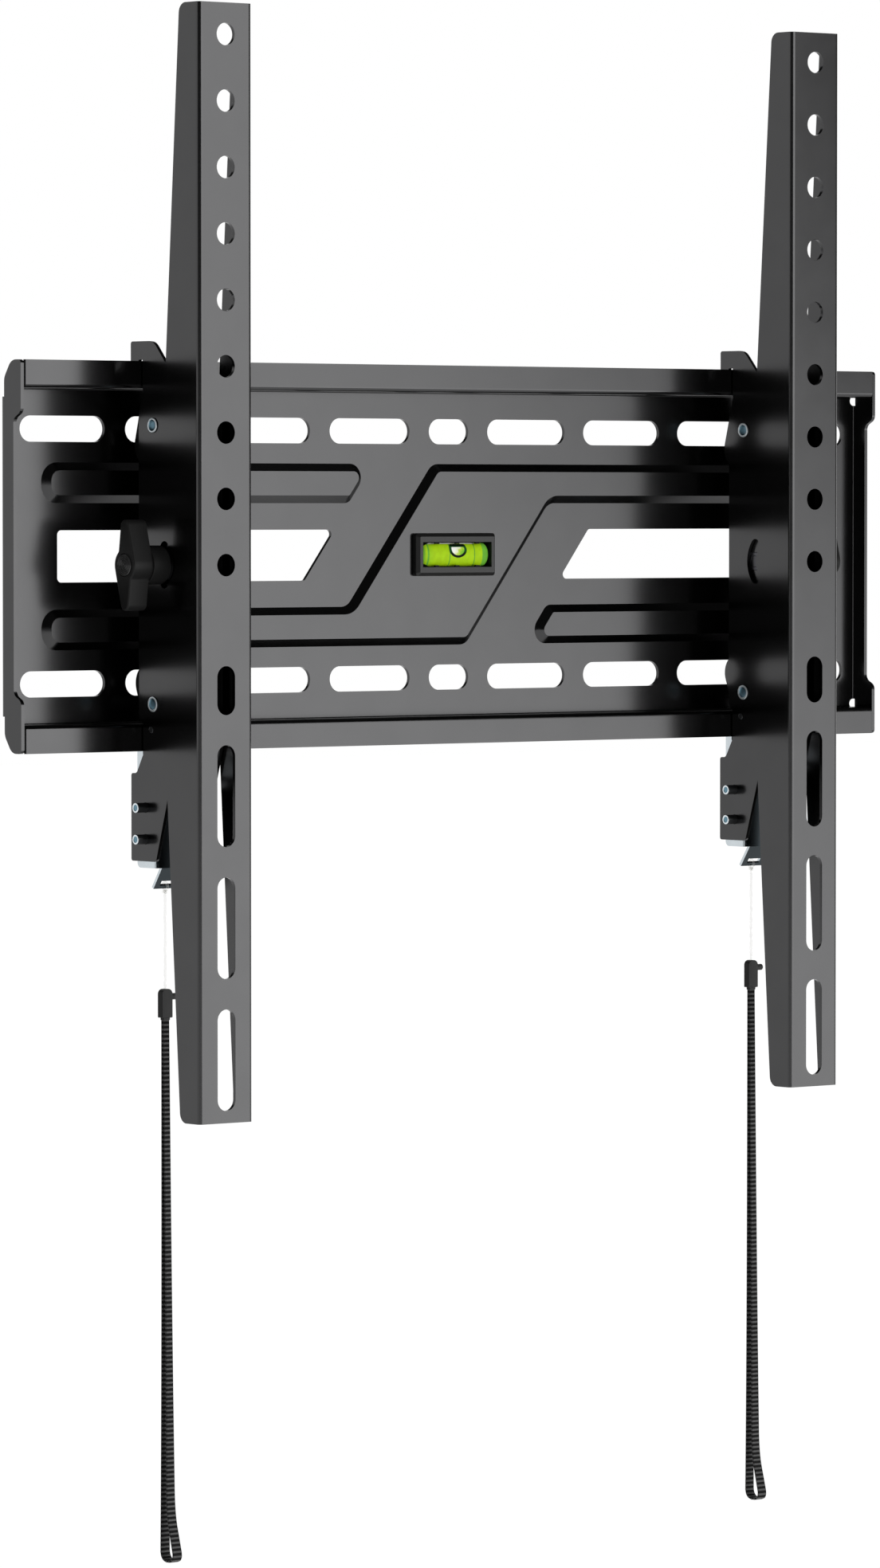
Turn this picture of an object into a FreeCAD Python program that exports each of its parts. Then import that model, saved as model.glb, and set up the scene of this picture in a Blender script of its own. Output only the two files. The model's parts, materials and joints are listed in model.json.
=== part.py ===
import FreeCAD, Part
import math
import os

# A tilting wall mount for a television, in millimetres.
# The origin is the centre of the wall plate's back face. +X is to the right, +Y goes into
# the wall and +Z is up, so everything stands in front of the wall, at negative Y.
os.makedirs("parts", exist_ok=True)

# folded sheet steel
sheet = 1.5
bend_outer = 1.9
bend_inner = bend_outer - sheet

# wall plate
plate_width = 436.0
plate_height = 148.4
tray_height = 129.8
tray_depth = 13.4
flange_end_gap = 0.5
ear_back = 2.4
ear_front = 12.9
side_flange_depth = 8.2
ear_length = 19.7
ear_blend_rise = 2.5
ear_blend_radius = 3.0
ear_corner_z = 6.7
ear_corner_y = 4.5
ear_corner_radius = 5.0
relief_diameter = 3.8
relief_inset_x = 1.7
relief_drop = 2.7

# slots for the wall screws
wall_slot_row = 48.35
wall_slot_height = 9.9
wall_slot_length = 40.2
wall_slot_spacing = 50.0
wall_slot_first = 40.0
wall_slots_per_side = 4
centre_slot_length = 20.1

# slanted openings and raised bands of the plate
opening_outer_x = 192.5
opening_inner_x = 65.0
opening_height = 19.8
opening_radius = 1.8
slant = 0.77
raise_height = 2.5
raise_slope = 3.0
raised_outer_x = 200.0
band_top = 35.6
band_bottom = 20.2
block_half_x = 36.0
pill_end_x = 38.8
pill_nose_radius = 5.5
pill_heel_radius = 4.2
band_end_radius = 7.0
block_radius = 6.0

# spirit level
level_width = 40.4
level_height = 16.8
level_front = 7.1
level_chamfer = 1.3
level_corner = 1.2
level_body_width = 37.2
level_body_height = 13.6
level_body_back = 0.6
level_window_width = 35.0
level_window_height = 9.8
level_floor = 0.6
level_fit = 0.1
vial_gap = 0.2
vial_front_gap = 0.6

# arms that the screen is bolted to
arm_spacing = 300.0
arm_width = 25.8
arm_front = 51.0
arm_top = 208.7
arm_bottom = -214.4
arm_end_depth = 12.0
arm_taper = 0.063
arm_far_flange_cut = 2.1
arm_middle_depth = 37.3
arm_middle_half = 59.6
arm_blend_rise = 3.4
arm_blend_radius = 3.6
arm_corner_radius = 4.0
arm_hole_diameter = 8.5
arm_hole_pitch = 25.0
arm_hole_count = 9
arm_slot_short = 18.5
arm_slot_long = 38.5
arm_slot_first_drop = 47.4
arm_slot_second_drop = 87.3
arm_slot_pitch = 50.0

# tilt axis, and the guides that stand round it
tilt_y = -37.5
tilt_z = -3.2
knob_offset = 10.2
arm_arc_half_angle = 39.0
arm_arc_width = 5.2
guide_offset_y = 15.0
guide_offset_z = 52.9
guide_arc_half_angle = 9.0
pin_diameter = 3.8
pin_bore = 2.3
pin_fit = 0.05
pin_running_gap = 0.3

# brackets that hang on the plate, with rises and drops from the edge of the nearer lip
bracket_side_gap = 0.25
bracket_front = 36.5
bracket_back = 6.4
hook_rise = 7.5
hook_gap = 0.5
hook_tip_drop = 7.7
hook_slope_y = 20.5
web_top_drop = 10.2
web_bottom_rise = 6.2
heel_y = 21.7
heel_drop = 41.9
shoulder_drop = 8.4
tray_corner_gap = 0.9
bulge_y = 7.6
bulge_offset = 42.0
waist_y = 16.5
waist_offset = 36.4

# latch, its guide pins and its spring, with rises and drops from the edge of the lower lip
latch_gap = 0.25
latch_sheet = 1.2
latch_travel = 8.0
latch_back = 8.0
latch_nose_front = 11.5
latch_nose_rise = 4.7
latch_web_front = 19.4
latch_web_top_drop = 10.3
latch_web_bottom_drop = 43.0
latch_pin_y = -15.2
latch_pin_high_drop = 21.4
latch_pin_low_drop = 33.45
latch_pin_reach = 4.8
tongue_half = 5.7
tongue_tip_y = -12.6
tongue_drop = 9.3
tongue_strip = 1.4
tongue_slot_length = 6.4
tongue_slot_height = 2.2
anchor_pin_diameter = 2.4
anchor_pin_rise = 8.2
spring_wire = 0.8
spring_radius = 1.9
spring_turns = 6
spring_lead = 0.8
spring_turn_points = 8
spring_ring_points = 6
spring_ring_angle = 290.0
spring_strip = 1.6
spring_hole_height = 2.6
spring_hole_width = 4.0

# thin wire and cord have this many flats round their section, to keep them light
wire_sides = 6

# clamping knob, stud, washer and nut
knob_y = tilt_y + knob_offset
stud_diameter = 4.6
stud_gap = 0.2
washer_diameter = 14.0
washer_thickness = 0.8
clamp_gap = 0.05
knob_neck_radius = 7.4
knob_neck_end = 21.5
knob_face = 30.3
knob_length = 34.4
knob_waist_radius = 6.3
knob_tip_radius = 2.5
knob_wing_lean = 7.4
knob_hollow_radius = 1.5
knob_edge = 0.7
knob_bore_end = 24.5
groove_radii = (1.1, 2.1, 3.1, 4.1)
groove_width = 0.5
groove_depth = 0.4
nut_flats = 7.0
nut_length = 4.2
nut_collar_diameter = 9.6
nut_collar_thickness = 0.9
nut_thread_gap = 0.05

# pull cord below each latch
cord_diameter = 1.0
cord_loop_radius = 1.55
knot_radius = 1.1
cord_drop = 38.7
ferrule_length = 12.0
ferrule_width = 5.0
ferrule_depth = 3.0
ferrule_corner = 2.0
ferrule_collar_width = 3.2
ferrule_collar_depth = 2.0
ferrule_collar_length = 1.0
peg_diameter = 2.5
peg_length = 3.0
peg_drop = 3.0
strap_width = 2.8
strap_thickness = 0.75
strap_gap = 0.2
strap_drop = 207.6
strap_loop_depth = 9.3
strap_knee_rise = 18.8
strap_knee_depth = 4.3
strap_rear_radius = 4.2
strap_front_radius = 3.4
strap_knee_radius = 25.0


def put_yz(x):
    # a and b of an outline are Y and Z, at this X
    return lambda a, b: FreeCAD.Vector(x, a, b)


def put_xz(y):
    return lambda a, b: FreeCAD.Vector(a, y, b)


def put_xy(z):
    return lambda a, b: FreeCAD.Vector(a, b, z)


def outline(corners, place):
    # A closed wire through the corners (a, b) or (a, b, radius), each with its round.
    count = len(corners)
    joints = []
    for i in range(count):
        corner = corners[i]
        here = FreeCAD.Vector(corner[0], corner[1], 0)
        before = FreeCAD.Vector(corners[i - 1][0], corners[i - 1][1], 0)
        after = FreeCAD.Vector(corners[(i + 1) % count][0], corners[(i + 1) % count][1], 0)
        radius = corner[2] if len(corner) > 2 else 0.0
        if radius <= 0.0:
            joints.append((here, None, here))
            continue
        back = (before - here).normalize()
        ahead = (after - here).normalize()
        half = back.getAngle(ahead) / 2.0
        setback = radius / math.tan(half)
        middle = here + (back + ahead).normalize() * (radius / math.sin(half) - radius)
        joints.append((here + back * setback, middle, here + ahead * setback))
    edges = []
    for i in range(count):
        enter, middle, leave = joints[i]
        following = joints[(i + 1) % count][0]
        if middle is not None:
            ends = [place(point.x, point.y) for point in (enter, middle, leave)]
            edges.append(Part.Arc(*ends).toShape())
        if (following - leave).Length > 1e-5:
            start = place(leave.x, leave.y)
            edges.append(Part.LineSegment(start, place(following.x, following.y)).toShape())
    return Part.Wire(edges)


def outwards(solid):
    # A solid swept against its outline's turn comes out inside out.
    if solid.Volume < 0:
        solid.reverse()
    return solid


def prism(corners, put, start, end):
    # The outline pushed from one station to another along the normal of its plane.
    face = Part.Face(outline(corners, put(start)))
    return outwards(face.extrude(put(end)(0, 0) - put(start)(0, 0)))


def inset(corners, distance):
    # The same outline moved inwards, with its rounds kept concentric.
    count = len(corners)
    area = 0.0
    for i in range(count):
        following = corners[(i + 1) % count]
        area += corners[i][0] * following[1] - following[0] * corners[i][1]
    turn = 1.0 if area > 0 else -1.0
    moved = []
    for i in range(count):
        a, b, radius = corners[i]
        before = corners[i - 1]
        after = corners[(i + 1) % count]
        d1 = FreeCAD.Vector(a - before[0], b - before[1], 0).normalize()
        d2 = FreeCAD.Vector(after[0] - a, after[1] - b, 0).normalize()
        n1 = FreeCAD.Vector(-d1.y, d1.x, 0) * turn
        n2 = FreeCAD.Vector(-d2.y, d2.x, 0) * turn
        bisector = (n1 + n2) * (1.0 / (1.0 + n1.dot(n2)))
        convex = turn * (d1.x * d2.y - d1.y * d2.x) > 0
        if radius > 0:
            radius = max(radius - distance, 0.4) if convex else radius + distance
        moved.append((a + bisector.x * distance, b + bisector.y * distance, radius))
    return moved


def bar(x_start, x_end, y, z, diameter, bore=0.0):
    # A round bar or tube along X.
    low = min(x_start, x_end)
    length = abs(x_end - x_start)
    along = FreeCAD.Vector(1, 0, 0)
    rod = Part.makeCylinder(diameter / 2.0, length, FreeCAD.Vector(low, y, z), along)
    if bore > 0:
        inside = Part.makeCylinder(bore / 2.0, length + 2, FreeCAD.Vector(low - 1, y, z), along)
        rod = rod.cut(inside)
    return rod


def drill(shape, x, z, diameter, y_start, y_end):
    hole = Part.makeCylinder(diameter / 2.0, abs(y_end - y_start),
                             FreeCAD.Vector(x, min(y_start, y_end), z), FreeCAD.Vector(0, 1, 0))
    return shape.cut(hole)


def slot_corners(a, b, length, height):
    # A slot with round ends, long along a, or along b where the length is the height.
    radius = min(length, height) / 2.0
    left = a - length / 2.0
    right = a + length / 2.0
    low = b - height / 2.0
    high = b + height / 2.0
    return [(left, low, radius), (right, low, radius), (right, high, radius), (left, high, radius)]


def arc_slot(centre_y, centre_z, radius, middle_angle, half_angle, width, x_start, x_end):
    # A slot bent round an axis along X. Angles are in degrees from +Y towards +Z.
    def at(distance, degrees):
        turn = math.radians(degrees)
        y = centre_y + distance * math.cos(turn)
        z = centre_z + distance * math.sin(turn)
        return FreeCAD.Vector(x_start, y, z)

    inner = radius - width / 2.0
    outer = radius + width / 2.0
    first = middle_angle - half_angle
    last = middle_angle + half_angle
    cap = math.degrees(width / 2.0 / radius)
    edges = [
        Part.Arc(at(outer, first), at(outer, middle_angle), at(outer, last)).toShape(),
        Part.Arc(at(outer, last), at(radius, last + cap), at(inner, last)).toShape(),
        Part.Arc(at(inner, last), at(inner, middle_angle), at(inner, first)).toShape(),
        Part.Arc(at(inner, first), at(radius, first - cap), at(outer, first)).toShape(),
    ]
    face = Part.Face(Part.Wire(edges))
    return face.extrude(FreeCAD.Vector(x_end - x_start, 0, 0))


def channel(half_width, front, back, low, high, thickness=sheet):
    # A U of folded sheet, open at the back, standing along Z.
    outer = min(bend_outer, thickness + bend_inner)
    corners = [
        (-half_width, -back), (-half_width, -front, outer), (half_width, -front, outer),
        (half_width, -back), (half_width - thickness, -back),
        (half_width - thickness, -front + thickness, bend_inner),
        (-half_width + thickness, -front + thickness, bend_inner),
        (-half_width + thickness, -back),
    ]
    return prism(corners, put_xy, low, high)


def pill_corners():
    # Upper left pill: round at its outer end, a slanted nose at its inner end.
    return [
        (-raised_outer_x, band_bottom, band_end_radius),
        (-pill_end_x - slant * (band_top - band_bottom), band_bottom, pill_heel_radius),
        (-pill_end_x, band_top, pill_nose_radius),
        (-raised_outer_x, band_top, band_end_radius),
    ]


def block_corners():
    # The raised block in the middle, with a band running off it to each side.
    def edge(side, z):
        return side * block_half_x + slant * z

    return [
        (-raised_outer_x, -band_top, band_end_radius),
        (edge(1, -band_top), -band_top, block_radius),
        (edge(1, band_bottom), band_bottom, block_radius),
        (raised_outer_x, band_bottom, band_end_radius),
        (raised_outer_x, band_top, band_end_radius),
        (edge(-1, band_top), band_top, block_radius),
        (edge(-1, -band_bottom), -band_bottom, block_radius),
        (-raised_outer_x, -band_bottom, band_end_radius),
    ]


def turned(corners):
    # The outline turned half a turn about the plate's centre.
    return [(-a, -b, radius) for a, b, radius in corners]


def raised(corners):
    # What a pressed form adds to the front of the sheet, and what it takes from the back.
    angle = math.atan2(raise_height, raise_slope)
    shift = sheet * (1.0 / math.cos(angle) - 1.0) * raise_slope / raise_height

    def loft(foot, y_foot, head, y_head):
        wires = [outline(inset(corners, foot), put_xz(y_foot)),
                 outline(inset(corners, head), put_xz(y_head))]
        return Part.makeLoft(wires, True, True)

    front = loft(0.0, -sheet, raise_slope, -sheet - raise_height)
    hollow = loft(shift, 0.0, shift + raise_slope, -raise_height)
    return front, hollow


def make_wall_plate():
    half_width = plate_width / 2.0
    half_height = plate_height / 2.0
    half_tray = tray_height / 2.0
    flange_end = half_width - sheet - flange_end_gap
    relief_z = half_tray - relief_drop
    relief_start = relief_z - relief_diameter / 2.0
    blend_high = half_height - ear_length

    # tray: main face, one flange forward at the top and the bottom, then the lips
    front = -tray_depth
    upper = [
        (0.0, half_tray, bend_outer), (front + sheet, half_tray, bend_inner),
        (front + sheet, half_height), (front, half_height),
        (front, half_tray - sheet, bend_outer), (-sheet, half_tray - sheet, bend_inner),
    ]
    lower = [(c[0], -c[1]) + tuple(c[2:]) for c in reversed(upper)]
    plate = prism(upper + lower, put_yz, -flange_end, flange_end)

    for side in (-1, 1):
        # bend from the main face into the side flange
        bend = [
            (side * flange_end, 0.0), (side * half_width, 0.0, bend_outer),
            (side * half_width, -bend_outer), (side * (half_width - sheet), -bend_outer),
            (side * (half_width - sheet), -sheet, bend_inner), (side * flange_end, -sheet),
        ]
        plate = plate.fuse(prism(bend, put_xy, -relief_start, relief_start))
        # side flange, with an ear at each end
        half = [
            (-bend_outer, relief_start), (-ear_back, relief_start),
            (-ear_back, half_height - ear_corner_z, ear_corner_radius),
            (-ear_back - ear_corner_y, half_height, ear_corner_radius),
            (-ear_front, half_height, sheet), (-ear_front, blend_high, ear_blend_radius),
            (-side_flange_depth, blend_high - ear_blend_rise, ear_blend_radius),
        ]
        mirrored = [(c[0], -c[1]) + tuple(c[2:]) for c in reversed(half)]
        start = side * (half_width - sheet)
        plate = plate.fuse(prism(half + mirrored, put_yz, start, side * half_width))

    forms = [raised(pill_corners()), raised(turned(pill_corners())), raised(block_corners())]
    for added, hollow in forms:
        plate = plate.fuse(added)
    plate = plate.removeSplitter()
    for added, hollow in forms:
        plate = plate.cut(hollow)

    for side in (-1, 1):
        for level in (-1, 1):
            x = side * (half_width - relief_inset_x)
            plate = drill(plate, x, level * relief_z, relief_diameter, 1.0, -ear_back)
    for cutter in wall_slot_cutters() + opening_cutters():
        plate = plate.cut(cutter)
    window = rectangle(level_body_width + 2 * level_fit, level_body_height + 2 * level_fit)
    return plate.cut(prism(window, put_xz, 1.0, -level_front))


def rectangle(width, height, radius=0.0):
    a = width / 2.0
    b = height / 2.0
    return [(-a, -b, radius), (a, -b, radius), (a, b, radius), (-a, b, radius)]


def wall_slot_cutters():
    cutters = []
    for row in (-wall_slot_row, wall_slot_row):
        centre = slot_corners(0.0, row, centre_slot_length, wall_slot_height)
        cutters.append(prism(centre, put_xz, 1.0, -2 * sheet))
        for side in (-1, 1):
            for i in range(wall_slots_per_side):
                x = side * (wall_slot_first + i * wall_slot_spacing)
                corners = slot_corners(x, row, wall_slot_length, wall_slot_height)
                cutters.append(prism(corners, put_xz, 1.0, -2 * sheet))
    return cutters


def opening_cutters():
    half = opening_height / 2.0
    left = [
        (-opening_outer_x, -half, opening_radius),
        (-opening_inner_x - slant * half, -half, opening_radius),
        (-opening_inner_x + slant * half, half, opening_radius),
        (-opening_outer_x, half, opening_radius),
    ]
    return [prism(c, put_xz, 1.0, -2 * sheet) for c in (left, turned(left))]


def make_level_housing():
    face = -sheet - raise_height
    rim = -level_front + level_chamfer
    footprint = rectangle(level_width, level_height, level_corner)
    block = prism(footprint, put_xz, face, rim)
    edge = Part.makeLoft([outline(footprint, put_xz(rim)),
                          outline(inset(footprint, level_chamfer), put_xz(-level_front))],
                         True, True)
    body = prism(rectangle(level_body_width, level_body_height), put_xz, -level_body_back, face)
    housing = block.multiFuse([outwards(edge), body]).removeSplitter()
    window = rectangle(level_window_width, level_window_height)
    return housing.cut(prism(window, put_xz, -level_body_back - level_floor, -level_front - 1))


def make_level_vial():
    # A flattened round tube with rounded ends, lying along X in the housing.
    front = level_front - vial_front_gap
    back = level_body_back + level_floor + vial_gap
    radius = level_window_height / 2.0 - vial_gap
    half = level_window_width / 2.0 - vial_gap
    end = radius * 0.7
    section = [(-half, 0.0), (half, 0.0), (half, radius, end), (-half, radius, end)]
    tube = Part.Face(outline(section, put_xy(0.0)))
    tube = tube.revolve(FreeCAD.Vector(0, 0, 0), FreeCAD.Vector(1, 0, 0), 360)
    flatten = FreeCAD.Matrix()
    flatten.scale(1.0, (front - back) / 2.0 / radius, 1.0)
    tube = tube.transformGeometry(flatten)
    tube.translate(FreeCAD.Vector(0, -(front + back) / 2.0, 0))
    return tube


def arm_side(depth_cut):
    # Side view of an arm: shallow ends that deepen towards a wide middle.
    def rear(distance):
        return -arm_front + arm_end_depth + arm_taper * distance - depth_cut

    middle = -arm_front + arm_middle_depth
    half = arm_middle_half
    upper_start = tilt_z + half + arm_blend_rise
    lower_start = tilt_z - half - arm_blend_rise
    return [
        (-arm_front, arm_bottom), (-arm_front, arm_top),
        (rear(0.0), arm_top, arm_corner_radius),
        (rear(arm_top - upper_start), upper_start, arm_blend_radius),
        (middle, tilt_z + half, arm_blend_radius),
        (middle, tilt_z - half, arm_blend_radius),
        (rear(lower_start - arm_bottom), lower_start, arm_blend_radius),
        (rear(0.0), arm_bottom, arm_corner_radius),
    ]


def guide_angle():
    return math.degrees(math.atan2(guide_offset_z, guide_offset_y))


def guide_radius():
    return math.hypot(guide_offset_y, guide_offset_z)


def arm_slots():
    # Drop below the tilt axis and length of each slot in the arm's web.
    slots = [(arm_slot_first_drop, arm_slot_short)]
    for i in range(3):
        slots.append((arm_slot_second_drop + i * arm_slot_pitch, arm_slot_long))
    return slots


def make_arm():
    half = arm_width / 2.0
    back = arm_front - arm_middle_depth
    body = channel(half, arm_front, back, arm_bottom, arm_top)
    near = body.common(prism(arm_side(0.0), put_yz, -half, 0.0))
    far = body.common(prism(arm_side(arm_far_flange_cut), put_yz, 0.0, half))
    arm = near.fuse(far).removeSplitter()
    behind = -arm_front + 2 * sheet
    for i in range(arm_hole_count):
        z = tilt_z + i * arm_hole_pitch
        arm = drill(arm, 0.0, z, arm_hole_diameter, -arm_front - 1, behind)
    for drop, length in arm_slots():
        corners = slot_corners(0.0, tilt_z - drop, arm_hole_diameter, length)
        arm = arm.cut(prism(corners, put_xz, -arm_front - 1, behind))
    arm = arm.cut(arc_slot(tilt_y, tilt_z, knob_offset, 0.0, arm_arc_half_angle, arm_arc_width,
                           -half - 1, half + 1))
    for level in (-1, 1):
        arm = arm.cut(bar(-half - 1, half + 1, tilt_y + guide_offset_y,
                          tilt_z + level * guide_offset_z, pin_diameter + 2 * pin_fit))
    return arm


def lip_edge():
    # height of the free edge of the upper lip, and depth of the lower one below the origin
    return plate_height / 2.0


def bracket_half():
    return arm_width / 2.0 - sheet - bracket_side_gap


def lip_front():
    return -tray_depth - hook_gap


def lip_back():
    return -tray_depth + sheet + hook_gap


def bracket_side():
    # Side view of a bracket: hook over the upper lip, bulges round the guide slots, long heel.
    lip = lip_edge()
    hook_top = lip + hook_rise
    mouth_top = lip + hook_gap
    tip = lip - hook_tip_drop
    shoulder = -lip - shoulder_drop
    heel = -lip - heel_drop
    corner = tray_height / 2.0 - sheet - tray_corner_gap
    return [
        (-bracket_back, hook_top, 1.0), (-hook_slope_y, hook_top, 6.0),
        (-bracket_front, lip - web_top_drop, 2.0), (-bracket_front, web_bottom_rise - lip, 2.0),
        (-heel_y, heel, 1.5), (-bracket_back, heel, 1.0),
        (-bracket_back, shoulder, 1.0), (lip_front() + 4.2, shoulder, 2.0),
        (lip_front(), -lip - 1.1, 1.0), (lip_front(), -corner, 1.5),
        (-bulge_y, tilt_z - bulge_offset, 7.5), (-waist_y, tilt_z - waist_offset, 4.0),
        (-waist_y, tilt_z + waist_offset, 4.0), (-bulge_y, tilt_z + bulge_offset, 7.5),
        (lip_front(), corner, 1.5), (lip_front(), mouth_top, 0.6),
        (lip_back(), mouth_top, 0.6), (lip_back(), tip, 1.0),
        (-bracket_back, tip, 1.5),
    ]


def make_bracket(knob_side):
    half = bracket_half()
    bracket = channel(half, bracket_front, bracket_back, -lip_edge() - heel_drop,
                      lip_edge() + hook_rise)
    bracket = bracket.common(prism(bracket_side(), put_yz, -half, half))
    for level in (-1, 1):
        cutter = arc_slot(tilt_y, tilt_z, guide_radius(), level * guide_angle(),
                          guide_arc_half_angle, pin_diameter + 2 * pin_running_gap,
                          -half - 1, half + 1)
        bracket = bracket.cut(cutter)
    for z in latch_pin_heights():
        hole = bar(-half - 1, half + 1, latch_pin_y, z, pin_diameter + 2 * pin_fit)
        bracket = bracket.cut(hole)
    bracket = bracket.cut(bar(-half - 1, half + 1, spring_y(), anchor_height(),
                              anchor_pin_diameter + 2 * pin_fit))
    stud_hole = bar(0.0, knob_side * (half + 1), knob_y, tilt_z, stud_diameter + 2 * stud_gap)
    nut_hole = hexagon(nut_flats + 2 * pin_fit, 0.0, -knob_side * (half + 1))
    return bracket.cut(stud_hole).cut(nut_hole)


def hexagon(flats, x_start, x_end):
    radius = flats / math.sqrt(3.0)
    corners = []
    for i in range(6):
        turn = math.radians(60 * i)
        corners.append((knob_y + radius * math.cos(turn), tilt_z + radius * math.sin(turn)))
    return prism(corners, put_yz, x_start, x_end)


def make_arm_pin(level):
    half = arm_width / 2.0
    z = tilt_z + level * guide_offset_z
    return bar(-half, half, tilt_y + guide_offset_y, z, pin_diameter, pin_bore)


def latch_pin_heights():
    return (-lip_edge() - latch_pin_high_drop, -lip_edge() - latch_pin_low_drop)


def make_latch_pin(z):
    reach = bracket_half() + latch_pin_reach
    return bar(-reach, reach, latch_pin_y, z, pin_diameter, pin_bore)


def anchor_height():
    return anchor_pin_rise - lip_edge()


def make_anchor_pin():
    half = bracket_half()
    return bar(-half, half, spring_y(), anchor_height(), anchor_pin_diameter)


def latch_half():
    return bracket_half() - sheet - latch_gap


def spring_y():
    # the spring hangs in line with the middle of the latch's web
    return -latch_web_front + latch_sheet / 2.0


def latch_web_top():
    return -lip_edge() - latch_web_top_drop


def tongue_root():
    return FreeCAD.Vector(0, spring_y(), -lip_edge() - latch_web_bottom_drop)


def tongue_tip():
    return FreeCAD.Vector(0, tongue_tip_y, tongue_root().z - tongue_drop)


def tongue_direction():
    return (tongue_tip() - tongue_root()).normalize()


def make_latch():
    half = latch_half()
    lip = -lip_edge()
    nose = lip + latch_nose_rise
    bottom = tongue_root().z - 1.5
    side = [
        (-latch_back, lip, 0.8), (-latch_nose_front, nose, 0.6),
        (-latch_nose_front, lip - 1.5, 1.5), (-latch_web_front, latch_web_top(), 2.0),
        (-latch_web_front, bottom), (-latch_back, bottom, 2.0),
    ]
    latch = channel(half, latch_web_front, latch_back, bottom, nose, latch_sheet)
    latch = latch.common(prism(side, put_yz, -half, half))
    # between the cheeks the web ends square, clear of the spring's coil
    above = rectangle(2 * (half - latch_sheet), 2 * latch_nose_rise)
    above = prism(above, put_xz, -latch_web_front - 1, -latch_web_front + latch_sheet)
    above.translate(FreeCAD.Vector(0, 0, latch_web_top() + latch_nose_rise))
    latch = latch.cut(above)

    # the slot in each cheek gives both guide pins the latch's travel
    pin_high, pin_low = latch_pin_heights()
    length = pin_high - pin_low + latch_travel + pin_diameter + 4 * pin_running_gap
    low = pin_low - pin_diameter / 2.0 - 2 * pin_running_gap
    corners = slot_corners(latch_pin_y, low + length / 2.0, pin_diameter + 2 * pin_running_gap,
                           length)
    latch = latch.cut(prism(corners, put_yz, -half - 1, half + 1))

    # tongue bent rearwards below the web, with the slot that holds the cord
    along = tongue_direction()
    normal = FreeCAD.Vector(0, -along.z, along.y)
    start = tongue_root()
    tip = tongue_tip()
    thick = normal * (latch_sheet / 2.0)
    profile = [start + thick, tip + thick, tip - thick, start - thick]
    tongue = prism([(p.y, p.z) for p in profile], put_yz, -tongue_half, tongue_half)
    latch = latch.fuse(tongue).removeSplitter()
    high = tip - along * (tongue_strip + tongue_slot_height)
    low_edge = tip - along * tongue_strip
    deep = normal * (2 * latch_sheet)
    cutter = [high + deep, low_edge + deep, low_edge - deep, high - deep]
    latch = latch.cut(prism([(p.y, p.z) for p in cutter], put_yz,
                            -tongue_slot_length / 2.0, tongue_slot_length / 2.0))

    # hole for the spring, under a strip at the top of the web
    z = latch_web_top() - spring_strip - spring_hole_height / 2.0
    hole = slot_corners(0.0, z, spring_hole_width, spring_hole_height)
    return latch.cut(prism(hole, put_xz, -latch_web_front - 1, -latch_web_front + 2 * latch_sheet))


def spring_low():
    # centre of the ring that holds the strip at the top of the latch's web
    return latch_web_top() - spring_strip / 2.0


def wire_section(centre, along, diameter):
    # The section of a thin wire: a polygon square to its run, with one corner on the YZ plane.
    first = along.cross(FreeCAD.Vector(1, 0, 0)).normalize()
    second = along.cross(first).normalize()
    corners = []
    for i in range(wire_sides):
        turn = 2 * math.pi * i / wire_sides
        offset = first * math.cos(turn) + second * math.sin(turn)
        corners.append(centre + offset * (diameter / 2.0))
    return Part.makePolygon(corners + [corners[0]])


def make_spring():
    # One wire: a ring on the anchor pin, the coil, and a ring through the latch's web.
    y = spring_y()
    radius = spring_radius
    coil_top = anchor_height() - radius - spring_lead
    coil_bottom = spring_low() + radius + spring_lead

    def ring(centre_z, turn):
        points = []
        for i in range(spring_ring_points + 1):
            angle = math.radians(turn * spring_ring_angle * i / spring_ring_points)
            points.append(FreeCAD.Vector(0, y + radius * math.cos(angle),
                                         centre_z + radius * math.sin(angle)))
        return points

    path = list(reversed(ring(anchor_height(), 1)))
    path.append(FreeCAD.Vector(0, y + radius, anchor_height() - radius * 0.7))
    steps = spring_turns * spring_turn_points
    for i in range(steps + 1):
        angle = 2 * math.pi * i / spring_turn_points
        z = coil_top - (coil_top - coil_bottom) * i / steps
        path.append(FreeCAD.Vector(-radius * math.sin(angle), y + radius * math.cos(angle), z))
    path.append(FreeCAD.Vector(0, y + radius, spring_low() + radius * 0.7))
    path += ring(spring_low(), -1)
    curve = Part.BSplineCurve()
    curve.interpolate(path)
    edge = curve.toShape()
    section = wire_section(path[0], edge.tangentAt(edge.FirstParameter), spring_wire)
    return outwards(Part.Wire([edge]).makePipeShell([section], True, False))


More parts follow.
